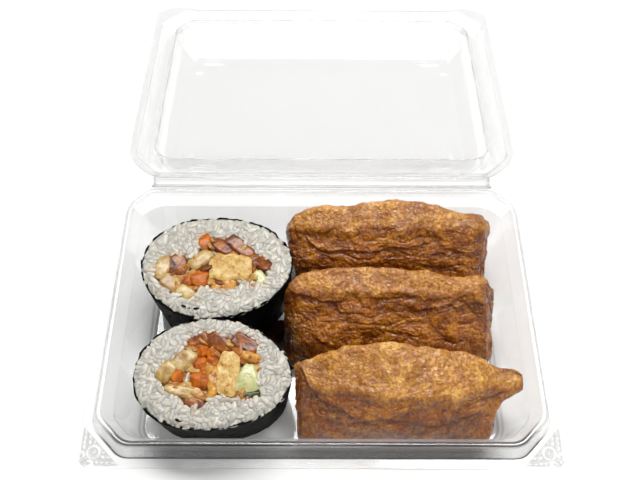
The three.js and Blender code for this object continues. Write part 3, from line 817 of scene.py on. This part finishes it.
def makeNori(name, roll, mat):
    # the wrap: out side up, over the uneven edge, in side down; a lapped end thickens part of it
    angle = roundAngles(nori["columns"])
    wallRows, innerRows = nori["wallRows"], nori["innerRows"]
    rise = np.concatenate([np.linspace(0, 1, wallRows), np.linspace(1, 0, innerRows)])[:, None]
    inner = np.concatenate([np.zeros(wallRows), np.ones(innerRows)])[:, None]
    x, y = rollRim(roll, angle, 1 + 0 * rise)
    along = np.stack([30 * np.cos(angle), 30 * np.sin(angle), np.full_like(angle, roll["seed"])], -1)
    edge = faceHeight(roll, x[:1], y[:1]) + nori["edge"] + relief(along, nori["ragged"], roll["seed"])
    z = foodFloor + 0.05 + (edge - foodFloor) * rise
    wall = np.stack([x, y, z], -1)
    crinkle = relief(wall, nori["crinkle"], roll["seed"] + 2, 4)
    height, scale = nori["wrinkle"]
    crinkle = crinkle + height * ridged(wall * [1, 1, 0.6], scale, roll["seed"])
    start, span, step = nori["lap"]
    turnOff = (angle - start) % (2 * pi)
    lap = step * ease(0, 0.03, turnOff) * ease(span, span * 0.7, turnOff)
    out = crinkle - 0.25 + (lap + 0.05) * (1 - inner) - nori["thick"] * inner
    dx, dy = (x - roll["x"]) / roll["a"] ** 2, (y - roll["y"]) / roll["b"] ** 2
    length = np.hypot(dx, dy)
    wall[..., 0] += out * dx / length
    wall[..., 1] += out * dy / length
    rows, cols = x.shape
    i = np.arange(cols)
    k, last = (i + 1) % cols, (rows - 1) * cols
    faces = [gridFaces(rows, cols), np.stack([last + i, last + k, k, i], -1)]
    piece = makePiece(name.replace("roll_", "nori_"), lean(roll, wall).reshape(-1, 3), faces, mat)
    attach(piece, "tray")
    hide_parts(name + "_nori")


noriEnd = {"rows": 70, "thick": 0.35, "deep": 3.0, "above": 0.1, "ragged": (0.75, 1.5), "bent": (0.25, 1.2)}


def makeNoriEnd(name, roll, mat):
    # the tucked-in end of the sheet: a thin strip within the rice whose ragged edge shows in specks
    start, end, startShare, endShare = roll["tuck"]
    s = np.linspace(0, 1, noriEnd["rows"])[:, None]
    x, y = rollRim(roll, np.radians(start + (end - start) * s), startShare + (endShare - startShare) * s)
    spot = np.concatenate([x, y, 0 * x], 1)
    top = relief(spot, noriEnd["ragged"], roll["seed"] + 8, 2)[:, None]
    top = faceHeight(roll, x, y) + noriEnd["above"] + top
    thick = noriEnd["thick"] * (1 - np.abs(2 * s - 1) ** 6) ** 0.5 + 0.02
    height, scale = noriEnd["bent"]
    across = np.array([[-1, 1, 1, -1]]) * thick + height * noise(spot, scale, 4)[:, None]
    heights = top - np.array([[1, 1, 0, 0]]) * noriEnd["deep"]
    points = lean(roll, np.stack([x + 0.3 * across, y + across, heights], -1))
    count = len(s)
    faces = [gridFaces(count, 4), np.array([[3, 2, 1, 0], np.arange(4) + 4 * (count - 1)])]
    piece = makePiece(name.replace("roll_", "nori_end_"), points.reshape(-1, 3), faces, mat, smooth=False)
    fixNormals(piece)
    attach(piece, "tray")


# grow: mm over the plain bar; uneven: share of the outline; relief: height and grain of the cut face in mm;
# lift: mm over the rice; colours: noise size in mm and ramp; bump: noise size and height in mm
fillingKinds = {
    # Rolled omelette: pale yellow, finely porous, lightly browned in layers.
    "egg": {
        "name": "rolled_omelette", "grow": 0.6, "uneven": 0.12, "relief": (0.35, 1.1), "lift": 0.4,
        "colours": (2.4, [(0.32, "#8f5b1a"), (0.43, "#bf974c"), (0.6, "#d2b476"), (0.78, "#e6d5a4")]),
        "bump": (0.9, 0.35), "roughness": 0.5, "coat": 0.1, "subsurface": 0.2,
    },
    # Browned egg and fried sheet soaked in amber sauce: moist and glossy.
    "amber": {
        "name": "sauce_soaked_egg", "grow": 1.0, "uneven": 0.2, "relief": (0.25, 1.6), "lift": 0.1,
        "colours": (2.0, [(0.3, "#7e4310"), (0.5, "#b97e28"), (0.72, "#dba94f")]),
        "bump": (0.9, 0.25), "roughness": 0.34, "coat": 0.12, "subsurface": 0.15,
    },
    # Simmered carrot: bright orange with darker wet cuts.
    "carrot": {
        "name": "simmered_carrot", "grow": 0.8, "uneven": 0.14, "relief": (0.08, 2.4), "lift": 0.5,
        "colours": (3.0, [(0.3, "#6b2b00"), (0.5, "#ae5600"), (0.72, "#d07a06")]),
        "bump": (1.0, 0.12), "roughness": 0.38, "coat": 0.0, "subsurface": 0.0,
    },
    # Simmered gourd strips: soft, olive to cream, soaked through.
    "gourd": {
        "name": "simmered_gourd", "grow": 0.9, "uneven": 0.15, "relief": (0.12, 4.0), "lift": 0.3,
        "colours": (3.6, [(0.3, "#845b24"), (0.48, "#a8874c"), (0.7, "#cdb985")]),
        "bump": (1.0, 0.16), "roughness": 0.3, "coat": 0.15, "subsurface": 0.25,
    },
    # Simmered shiitake: dark brown, slippery, with paler gills at the cuts.
    "shiitake": {
        "name": "simmered_shiitake", "grow": 1.3, "uneven": 0.12, "relief": (0.16, 4.0), "lift": 0.1,
        "colours": (3.0, [(0.34, "#3a1603"), (0.52, "#7a3b08"), (0.7, "#ae681e")]),
        "bump": (1.0, 0.2), "roughness": 0.32, "coat": 0.12, "subsurface": 0.0,
    },
    # Fresh cucumber: pale wet flesh.
    "cucumber": {
        "name": "cucumber_flesh", "grow": 0.6, "uneven": 0.1, "relief": (0.1, 2.0), "lift": 0.2,
        "colours": (2.6, [(0.3, "#a1a467"), (0.55, "#bfbc86"), (0.8, "#d4d2aa")]),
        "bump": (1.2, 0.12), "roughness": 0.28, "coat": 0.2, "subsurface": 0.3,
    },
    # Cucumber peel: waxy dark green.
    "cucumber_skin": {
        "name": "cucumber_peel", "grow": 0.2, "uneven": 0.12, "relief": (0.1, 2.0), "lift": 0.1,
        "colours": (1.4, [(0.3, "#16200a"), (0.55, "#33471a"), (0.8, "#6d8a3c")]),
        "bump": (1.0, 0.1), "roughness": 0.3, "coat": 0.3, "subsurface": 0.15,
    },
}
bar = {
    "columns": 56, "rows": (3, 13, 15), "square": 0.62, "wedge": 0.36, "tilt": 0.12, "facet": 0.32, "rim": 0.55,
}


def fillingMaterial(look):
    mat = newMaterial(look["name"])
    scale, stops = look["colours"]
    colour = colourRamp(mat, noiseNode(mat, scale, 4, 0.65, 0.4), stops)
    scale, height = look["bump"]
    normal = bumpNode(mat, noiseNode(mat, scale, 3), 0.5, height)
    return foodShader(mat, colour, normal, look["roughness"], look["coat"], look["subsurface"])


def makeFilling(rollName, roll, strip, materials, index):
    # a column from foot to face: an uneven rounded outline, a rough and tilted top
    label, cx, cy, a, b, degrees = strip
    kind = label.rstrip("_0123456789")
    look = fillingKinds[kind]
    seed = roll["seed"] + index * 3.7
    foot, wall, face = bar["rows"]
    angle = roundAngles(bar["columns"])
    radius = np.concatenate([[0.3, 0.7, 0.95], np.ones(wall), np.linspace(0.985, 0.06, face)])[:, None]
    rise = np.concatenate([np.zeros(foot), np.linspace(0.02, 1, wall), np.ones(face)])[:, None]
    u, v = (power(f(angle), bar["square"]) * (half + look["grow"]) for f, half in ((np.cos, a), (np.sin, b)))
    local = np.stack([u + 0 * radius, v + 0 * radius, seed + rise * 9 + 0 * u], -1)
    swell = 1 + look["uneven"] * fractal(local, 2.6, index, 2)
    u, v = u * radius * swell, v * radius * swell
    if kind == "cucumber":
        u = u * (1 - bar["wedge"] * v / b)  # narrow end up
    c, s = cos(radians(degrees)), sin(radians(degrees))
    x, y = cx + u * c - v * s, cy + u * s + v * c
    tilt = rng.uniform(-bar["tilt"], bar["tilt"], 2)
    # carrots are cut with two flat facets that meet in an edge
    edge = rng.uniform(0, pi)
    facet = bar["facet"] * np.abs(u * cos(edge) + v * sin(edge)) if kind == "carrot" else 0
    spot = np.stack([x, y, 0 * x + seed], -1)
    top = faceHeight(roll, x, y) + look["lift"] + rng.uniform(-0.35, 0.35) + tilt[0] * u + tilt[1] * v
    top = top + relief(spot, look["relief"], index + 11) - bar["rim"] * radius**7 - facet
    z = foodFloor + 0.1 + (top - foodFloor - 0.1) * rise
    verts = withEnds(lean(roll, np.stack([x, y, z], -1)))
    name = rollName.replace("roll_", "") + "_" + label
    piece = makePiece(name, verts, cappedFaces(*x.shape), materials[kind])
    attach(piece, "tray")
    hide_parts(rollName + "_" + label)


# spacing and sizes in mm; place: nearest and farthest from a filling, and both distances together
shred = {
    "pitch": 2.7, "jitter": 0.9, "place": (0.4, 2.0, 3.8), "reach": 0.84, "depth": 0.9,
    "sizes": ((2.0, 4.0), (1.0, 1.9), (0.5, 0.8)), "shape": (12, 10, 0.5, 0.25),
    "lumps": ((0.45, 1.9, 0), (0.15, 0.8, 5)),
}


def makeShreds(name, roll, mat):
    # small simmered shreds between the fillings
    x, y = hexPoints(roll, shred["pitch"], shred["jitter"])
    first, second = fillingDistance(roll, x, y)
    near, far, both = shred["place"]
    keep = (first > near) & (first < far) & (first + second < both) & (rollShare(roll, x, y) < shred["reach"])
    x, y = x[keep], y[keep]
    count = len(x)
    rotation = turns(rng.uniform(0, 2 * pi, count), rng.normal(0, 0.35, count), rng.uniform(-0.6, 0.6, count))
    sizes = np.column_stack([rng.uniform(*span, count) for span in shred["sizes"]])
    places = np.column_stack([x, y, faceHeight(roll, x, y) - shred["depth"] + rng.uniform(-0.4, 0.2, count)])
    template = grainTemplate(*shred["shape"])
    verts, faces = scatter(template, places, rotation, sizes)
    lumps = [sum(h * noise(verts, size, k + seed) for h, size, seed in shred["lumps"]) for k in range(3)]
    verts += np.stack(lumps, -1)
    piece = makePiece(name.replace("roll_", "shreds_"), lean(roll, verts).reshape(-1, 3), faces, mat)
    addAttributes(piece, shade=np.repeat(rng.uniform(0, 1, count), len(template[0])))
    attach(piece, "tray")


def riceMaterial():
    # Cooked short-grain rice: moist starchy grains, whitish, a little see-through, stained by the sauce.
    mat = newMaterial("cooked_rice")
    tone = mathNode(mat, "ADD", attributeNode(mat, "shade"), noiseNode(mat, 2.2, 2))
    tone = mathNode(mat, "MULTIPLY", tone, 0.5)
    clean = colourRamp(mat, tone, [(0.2, "#c0b8a7"), (0.5, "#cdc5b6"), (0.85, "#dad3c5")])
    sauce = colourRamp(mat, noiseNode(mat, 1.6, 2), [(0.35, "#6b3612"), (0.65, "#b9823c")])
    colour = mixColour(mat, attributeNode(mat, "stain"), clean, sauce)
    normal = bumpNode(mat, noiseNode(mat, 0.7, 2), 0.25, 0.15)
    return foodShader(mat, colour, normal, 0.45, 0.05, 0.5, (1.5, 1.25, 1.0))


def noriMaterial():
    # Dried seaweed sheet: nearly black green, papery, with a dull gloss on its fine wrinkles.
    mat = newMaterial("dried_seaweed")
    colour = colourRamp(mat, noiseNode(mat, 1.3, 4), [(0.3, "#010201"), (0.6, "#040504"), (0.8, "#0f120b")])
    normal = bumpNode(mat, noiseNode(mat, 0.9, 4), 0.6, 0.25)
    return foodShader(mat, colour, normal, 0.6, ior=1.2)


def shredMaterial():
    # Mixed simmered shreds soaked in sweet soy: amber, olive and brown pieces.
    mat = newMaterial("simmered_shreds")
    tone = mathNode(mat, "ADD", attributeNode(mat, "shade"), noiseNode(mat, 1.5, 3))
    tone = mathNode(mat, "MULTIPLY", tone, 0.55)
    colour = colourRamp(mat, tone, [
        (0.2, "#3d1a06"), (0.38, "#7a4214"), (0.52, "#a26b2e"), (0.68, "#c39b5a"), (0.82, "#9a5a1c"),
    ])
    normal = bumpNode(mat, noiseNode(mat, 0.7, 3), 0.5, 0.2)
    return foodShader(mat, colour, normal, 0.36, 0.1, 0.1)


# fold: Y and height of the long fold between the wide slanted side and the top; crown: Y and height of the
# back of the top in the middle; fall: places along the pouch and how far the crown has fallen there, in mm;
# flaps: start and end of each folded edge, and its step; stains: place, height, both sizes and strength of
# darker patches added to the painted shade
pouches = {
    "pouch_back": {
        "x": 25.3, "y": 30.1, "a": 40.1, "b": 14.6, "fold": (0.6, 31.8), "foldSkew": 0.0, "foldBow": 2.4,
        "crown": (12.7, 35.4), "taper": (0.02, 0.02), "slant": 0.01, "ear": 0.0,
        "seed": 2, "golden": 0.6, "soak": 0.7,
        "fall": ((-1, 8), (-0.95, 6.7), (-0.71, 3.1), (-0.36, 2.0), (-0.28, 0.4), (0.03, 0), (0.28, 0.9),
                 (0.52, 3.7), (0.71, 6.0), (0.9, 6.7), (1, 9)),
        "flaps": (((-0.9, 25), (0.5, 25.5), 0.7), ((0.3, 21), (0.95, 23), 0.7)),
        "stains": ((0.86, 27, 0.05, 2.0, 0.4),),
    },
    "pouch_middle": {
        "x": 24.3, "y": 0.7, "a": 38.9, "b": 15.0, "fold": (3.2, 31.2), "foldSkew": 0.4, "foldBow": 2.0,
        "crown": (13.6, 34.8), "taper": (-0.03, -0.06), "slant": -0.005, "ear": 0.0,
        "seed": 7, "golden": 0.2, "soak": 0.95,
        "fall": ((-1, 10), (-0.94, 8), (-0.83, 3.7), (-0.64, 1.6), (-0.34, 0.4), (0.05, 0), (0.33, 1.8),
                 (0.65, 4.9), (0.88, 4.5), (0.96, 8), (1, 10)),
        "flaps": (
            ((-0.97, 27.5), (-0.4, 29), 0.8), ((0.1, 27), (0.95, 25), 0.9), ((-0.75, 18), (-0.1, 12), 0.6),
        ),
        "stains": ((0.82, 25, 0.12, 1.8, 0.7), (0.93, 20, 0.05, 6, 0.3)),
    },
    "pouch_front": {
        "x": 28.3, "y": -29.4, "a": 39.5, "b": 13.9, "fold": (-4.6, 28.4), "foldSkew": -1.4, "foldBow": 5.0,
        "crown": (14.2, 34.3), "taper": (0.05, 0.26), "slant": 0.008, "ear": 9.5,
        "seed": 13, "golden": 1.0, "soak": 0.25,
        "fall": ((-1, 9), (-0.94, 7.7), (-0.83, 7.4), (-0.72, 5.5), (-0.5, 2.3), (-0.13, 0), (0.17, 0.9),
                 (0.54, 4.4), (0.72, 6.8), (0.84, 9.4), (0.92, 10.5), (1, 11)),
        "flaps": (
            ((-0.85, 20.5), (0.85, 17.5), 1.0), ((-0.97, 26), (-0.5, 20), 1.0), ((-0.4, 13), (0.6, 11.5), 0.6),
        ),
        # the last darkens the whole low front side: painted shade
        "stains": ((-0.93, 23, 0.07, 4.0, 0.8), (0.1, 18, 0.7, 3.0, 0.2), (0.0, 9, 0.95, 12, 0.6)),
    },
}
# reach: rounding of the section's six corners in mm; wall: heights and insets of the tray's inside
pouchMesh = {
    "sections": 300, "bend": 12, "runs": (8, 84, 46, 44, 14, 24), "reach": (3.0, 9.0, 2.0, 2.6, 8.0, 4.0),
    "wall": ((0.55, 1.6, 4.2, 24.1, 29.9, 30.4), (15.4, 14.0, 13.3, 10.0, 7.3, 6.8)), "wallGap": 0.25,
}


def pouchFall(shape, u):
    # the crown's fall by straight lines between the given places, then softened
    places, amounts = np.array(shape["fall"]).T
    spread = np.linspace(-0.035, 0.035, 9)
    return np.mean([np.interp(np.clip(u + d, -1, 1), places, amounts) for d in spread], 0)


def foldLine(shape, u):
    # Y of the long fold: y0 + skew u + bow u^2 + 0.2 fall
    return shape["fold"][0] + shape["foldSkew"] * u + shape["foldBow"] * u**2 + 0.2 * pouchFall(shape, u)


def pouchSections(shape, u):
    # six corners of the section in the YZ plane for each place u along the pouch
    z0, b = foodFloor, shape["b"]
    fall = pouchFall(shape, u)
    crownY, crownZ = shape["crown"]
    crownY, crownZ = crownY - 0.55 * fall, crownZ - 0.72 * fall
    one = np.ones_like(u)
    corners = [
        (-0.88 * b * one, z0 * one), (-b * one, (z0 + 8) * one),
        (foldLine(shape, u), shape["fold"][1] - 0.42 * fall), (crownY, crownZ),
        (1.02 * b - 0.2 * fall, 0.55 * crownZ), (0.76 * b * one, z0 * one),
    ]
    return np.stack([np.stack(c, -1) for c in corners], -2)


def pouchSurface(shape):
    # rows along X between two blunt ends, columns round the section
    n = pouchMesh["sections"]
    u = -np.cos((np.arange(n) + 0.5) / n * pi)
    reach = np.array(pouchMesh["reach"])[:, None]
    loop = roundedLoop(pouchSections(shape, u), reach, pouchMesh["bend"], pouchMesh["runs"])
    shrink = ((1 - np.abs(u) ** 16) ** (1 / 8))[:, None]
    y0, z0 = 0.1 * shape["b"], 0.45 * shape["crown"][1]
    y, z = y0 + (loop[..., 0] - y0) * shrink, z0 + (loop[..., 1] - z0) * shrink
    low = 1 - np.clip(z / shape["crown"][1], 0, 1)
    taper = np.where(u[:, None] < 0, *shape["taper"]) * low**1.3
    x = shape["a"] * u[:, None] * (1 - taper)
    x = x + shape["ear"] * ease(0.76, 1, u)[:, None] * bell(z, 24, 4.2) * bell(y, 1.3, 6)
    return np.stack([shape["x"] + x, shape["y"] + y + shape["slant"] * x, z], -1), u


def pouchFlaps(shape, u, points, facing):
    # skin folded over itself ends at a wavy line: proud above it, with a band of painted shadow just below
    z = points[..., 2]
    raised, flapShadow = np.zeros_like(z), np.zeros_like(z)
    for (startU, startZ), (endU, endZ), height in shape["flaps"]:
        along = (u - startU) / (endU - startU)
        inside = facing * ease(0, 0.15, along) * ease(1, 0.85, along)
        line = startZ + (endZ - startZ) * along + 1.3 * fractal(points * [1, 0, 0], 7, shape["seed"] + 20, 2)
        above = z - line
        raised += height * inside * ease(-0.4, 0.5, above) * np.exp(-np.maximum(above, 0) / 5)
        flapShadow += inside * bell(above, -0.6, 0.8)
    return raised, np.clip(flapShadow, 0, 1)


# heights in mm of the forms in the skin, and what each adds to the painted shade: in creases, in hollows, at
# the ends and under the flaps
skin = {
    "lumps": 1.1, "bulge": 1.2, "sides": 0.55, "warp": 1.6, "dimples": 0.55, "pores": 0.12, "topPores": 0.05,
    "lip": 0.55, "side": 0.42, "end": 0.5, "top": 0.2, "creaseDark": 1.3, "dimpleDark": 0.6, "endDark": 0.3,
    "flapShadowStrength": 0.9, "darkFrom": 0.1,
}


def makePouch(name, shape, mat):
    points, u = pouchSurface(shape)
    u = u[:, None]
    normal = gridNormals(points)
    seed = shape["seed"]
    x, y, z = points[..., 0] - shape["x"], points[..., 1] - shape["y"], points[..., 2]
    fold = foldLine(shape, u) + 0.9 * fractal(points * [1, 0, 0], 9, seed, 2)
    top = ease(-2.0, 2.6, y - fold + 1.5 * noise(points, 6, seed + 15)) * ease(0.2, 0.6, normal[..., 2])
    end = ease(0.80, 0.97, np.abs(u)) + 0 * x
    side = (1 - top) * (1 - end)
    facing = ease(0.1, -0.35, normal[..., 1]) * ease(0.97, 0.9, np.abs(u))
    bulge = facing * np.sin(pi * np.clip((z - foodFloor) / (shape["fold"][1] - foodFloor), 0, 1))
    lumps = skin["lumps"] * fractal(points, 15, seed, 2) + skin["bulge"] * bulge - skin["sides"] * (1 - top)
    # wrinkles run along the sides, and up and down on the ends; the top's are fainter
    warped = points + skin["warp"] * np.stack([noise(points, 6, seed + k) for k in (1, 2, 3)], -1)
    sideFolds = ridged(warped * [0.6, 1, 1], 5.0, seed + 4) + 0.6 * ridged(warped * [0.7, 1, 1], 2.6, seed + 5)
    sideFolds = sideFolds + 0.6 * ridged(warped, 1.6, seed + 11)
    endFolds = ridged(warped * [1, 1, 0.3], 3.2, seed + 6) + 0.5 * ridged(warped * [1, 1, 0.35], 1.9, seed + 7)
    topFolds = ridged(warped * [0.8, 0.8, 1], 7.0, seed + 8) + 0.8 * ridged(warped, 2.2, seed + 16)
    creases = side * skin["side"] * sideFolds + end * skin["end"] * endFolds + top * skin["top"] * topFolds
    raised, flapShadow = pouchFlaps(shape, u, points, facing)
    dimples = skin["dimples"] * fractal(warped, 5.5, seed + 14, 2)
    pores = (skin["pores"] + skin["topPores"] * top) * fractal(points, 1.3, seed + 9, 2)
    # the long fold stands out as a soft lip
    nearFold = bell(y, fold, 1.3) * (z > 0.6 * shape["fold"][1])
    lip = skin["lip"] * nearFold * (0.6 + 0.4 * noise(points, 7, seed + 10))
    offset = lumps + dimples - creases + pores + lip + raised
    base = ease(0.3, 3.0, z - foodFloor)
    points = points + normal * (offset * (0.25 + 0.75 * base))[..., None]
    points[..., 2] = np.maximum(points[..., 2], foodFloor - 0.1)
    # pressed in where it meets the slices, and kept within the tray's wall
    for roll in rolls.values():
        share = rollShare(roll, points[..., 0], points[..., 1])
        away = np.maximum((1 + 0.5 / roll["b"]) / np.maximum(share, 0.3), 1)
        hold = ease(roll["top"] + 9, roll["top"] + 1.5, points[..., 2]) * (share > 0.3)
        scaleAbout(roll, points, 1 + (away - 1) * hold)
    inset = np.interp(points[..., 2], *pouchMesh["wall"]) + pouchMesh["wallGap"]
    points[..., 0] = np.minimum(points[..., 0], box["width"] / 2 - inset)
    points[..., 1] = np.clip(points[..., 1], inset - box["depth"] / 2, box["depth"] / 2 - inset)
    newName = name.replace("pouch_", "tofu_pouch_")
    piece = makePiece(newName, withEnds(points), cappedFaces(*points.shape[:2]), mat)
    fixNormals(piece)
    facet = np.clip(top + 0.15 * noise(points, 4, seed + 12), 0, 1)
    # painted light: the top facet takes the lighter dry ramp, partly its own dry colour and partly light
    # falling from above
    golden = np.clip(facet * (0.5 + 0.45 * shape["golden"]), 0, 1)
    # the low left ends against the slices are darkened, partly soaked in soy and partly painted shade in the
    # deep gap there
    soaked = shape["soak"] * ease(-0.58, -0.95, u) * ease(31, 17, z + 0.5 * (x + 40))
    soaked = np.clip(soaked + 0.3 * soaked * noise(points, 3, seed), 0, 1)
    # painted shade in creases, low dimples and under the flaps; darker at the ends and in the given patches
    dark = creases * skin["creaseDark"] - skin["dimpleDark"] * dimples + skin["endDark"] * end
    dark = dark - skin["darkFrom"] + skin["flapShadowStrength"] * flapShadow
    for place, height, wide, high, strength in shape["stains"]:
        dark = dark + strength * bell(u, place, wide) * bell(z, height, high)
    dark = np.clip(dark, 0, 1)
    addAttributes(
        piece, facet=np.append(facet.ravel(), [0, 0]), golden=np.append(golden.ravel(), [0, 0]),
        dark=np.append(dark.ravel(), [0.5, 0.5]), soaked=np.append(soaked.ravel(), [shape["soak"], 0]),
    )
    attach(piece, "tray")
    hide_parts(name)


puddle = {"x": -14.5, "y": -2.0, "a": 9.0, "b": 11.0, "depth": 0.35, "columns": 120, "rows": (14, 20)}


def makeSoyAndShadePool():
    # a thin near-black pool on the tray floor between the slices and the middle pouch: partly simmering liquid,
    # partly painted shade for the deep gap there
    # Sweet soy: nearly black brown and mirror-smooth.
    mat = newMaterial("sweet_soy")
    colour = colourRamp(mat, noiseNode(mat, 4, 2), [(0.35, "#1c0904"), (0.65, "#3a1706")])
    foodShader(mat, colour, None, 0.08, 0.3, ior=1.36)
    angle = roundAngles(puddle["columns"])
    lower, upper = puddle["rows"]
    shares = np.concatenate([np.linspace(0.05, 1, lower), np.linspace(1, 0.05, upper)[1:]])[:, None]
    outline = 1 + 0.2 * np.sin(3 * angle + 0.5) + 0.1 * np.sin(5 * angle)
    x = puddle["x"] + puddle["a"] * outline * shares * np.cos(angle)
    y = puddle["y"] + puddle["b"] * outline * shares * np.sin(angle)
    above = (np.arange(len(shares)) >= lower)[:, None]
    z = foodFloor - 0.25 + above * puddle["depth"] * (1 - shares**6) ** 0.5 + 0 * x
    verts = np.stack([x, y, z], -1).reshape(-1, 3)
    verts = np.concatenate([verts, [[puddle["x"], puddle["y"], z[0, 0]], [puddle["x"], puddle["y"], z[-1, 0]]]])
    piece = makePiece("soy_and_shade_pool", verts, cappedFaces(*x.shape), mat)
    fixNormals(piece)
    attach(piece, "tray")


# tones: noise size in mm, detail, roughness, distortion and weight of each; wet and dry: ramps over their sum,
# the lighter dry one on the tops partly as painted light from above
tofu = {
    "tones": ((6, 3, 0.6, 0.6, 0.38), (1.1, 4, 0.7, 0.0, 0.47), (0.45, 2, 0.5, 0.0, 0.15)),
    "wet": [(0.42, "#743702"), (0.51, "#a05a05"), (0.6, "#cb8823")],
    "dry": [(0.42, "#90550e"), (0.51, "#b67826"), (0.6, "#dcab50")],
    "shadow": (0.7, "#5c2302"), "soaked": "#2e0f05", "roughness": (0.28, 0.4), "coatRough": 0.1, "ior": 1.33,
}


def tofuMaterial():
    # Deep-fried tofu skin simmered in sweet soy: a golden porous top, painted lighter partly for the light from
    # above, darker wet sides, glossy on the wrinkles.
    mat = newMaterial("simmered_fried_tofu")
    tone = 0.0
    for scale, detail, roughness, distortion, weight in tofu["tones"]:
        layer = noiseNode(mat, scale, detail, roughness, distortion)
        tone = mathNode(mat, "MULTIPLY_ADD", layer, weight, tone)
    wet, dry = (colourRamp(mat, tone, tofu[key]) for key in ("wet", "dry"))
    colour = mixColour(mat, attributeNode(mat, "golden"), wet, dry)
    share, brown = tofu["shadow"]
    shadow = mathNode(mat, "MULTIPLY", attributeNode(mat, "dark"), share)
    colour = mixColour(mat, shadow, colour, brown)
    colour = mixColour(mat, attributeNode(mat, "soaked"), colour, tofu["soaked"])
    pores = noiseNode(mat, 0.9, 3, 0.5)
    puckers = noiseNode(mat, 2.0, 3, 0.5, 1.2)
    height = mathNode(mat, "MULTIPLY_ADD", puckers, 1.2, pores)
    smooth, rough = tofu["roughness"]
    gloss = node(mat, "MapRange", Value=attributeNode(mat, "facet"), To_Min=smooth, To_Max=rough)
    return finishMaterial(mat, node(
        mat, "BsdfPrincipled", Base_Color=colour, Normal=bumpNode(mat, height, 0.7, 0.55),
        Roughness=gloss.outputs[0], IOR=tofu["ior"], Coat_Weight=1.0, Coat_Roughness=tofu["coatRough"],
        Coat_Normal=bumpNode(mat, puckers, 1.0, 1.0), Subsurface_Weight=0.1,
        Subsurface_Radius=(1.0, 0.45, 0.15), Subsurface_Scale=mm,
    ))


makeStage()
sheet = clearPlastic()
makeTray(sheet)
makeLid(sheet)
makeHinge(sheet)
print("clear box made")
rice = riceMaterial()
seaweed = noriMaterial()
fillingMaterials = {kind: fillingMaterial(look) for kind, look in fillingKinds.items()}
shreds = shredMaterial()
for rollName, roll in rolls.items():
    makeCore(rollName, roll, rice)
    makeNori(rollName, roll, seaweed)
    makeNoriEnd(rollName, roll, seaweed)
    makeShreds(rollName, roll, shreds)
    for index, strip in enumerate(roll["fillings"]):
        makeFilling(rollName, roll, strip, fillingMaterials, index)
makeGrains(rice)
print("roll slices made")
simmered = tofuMaterial()
for pouchName, shape in pouches.items():
    makePouch(pouchName, shape, simmered)
makeSoyAndShadePool()
print("pouches made")
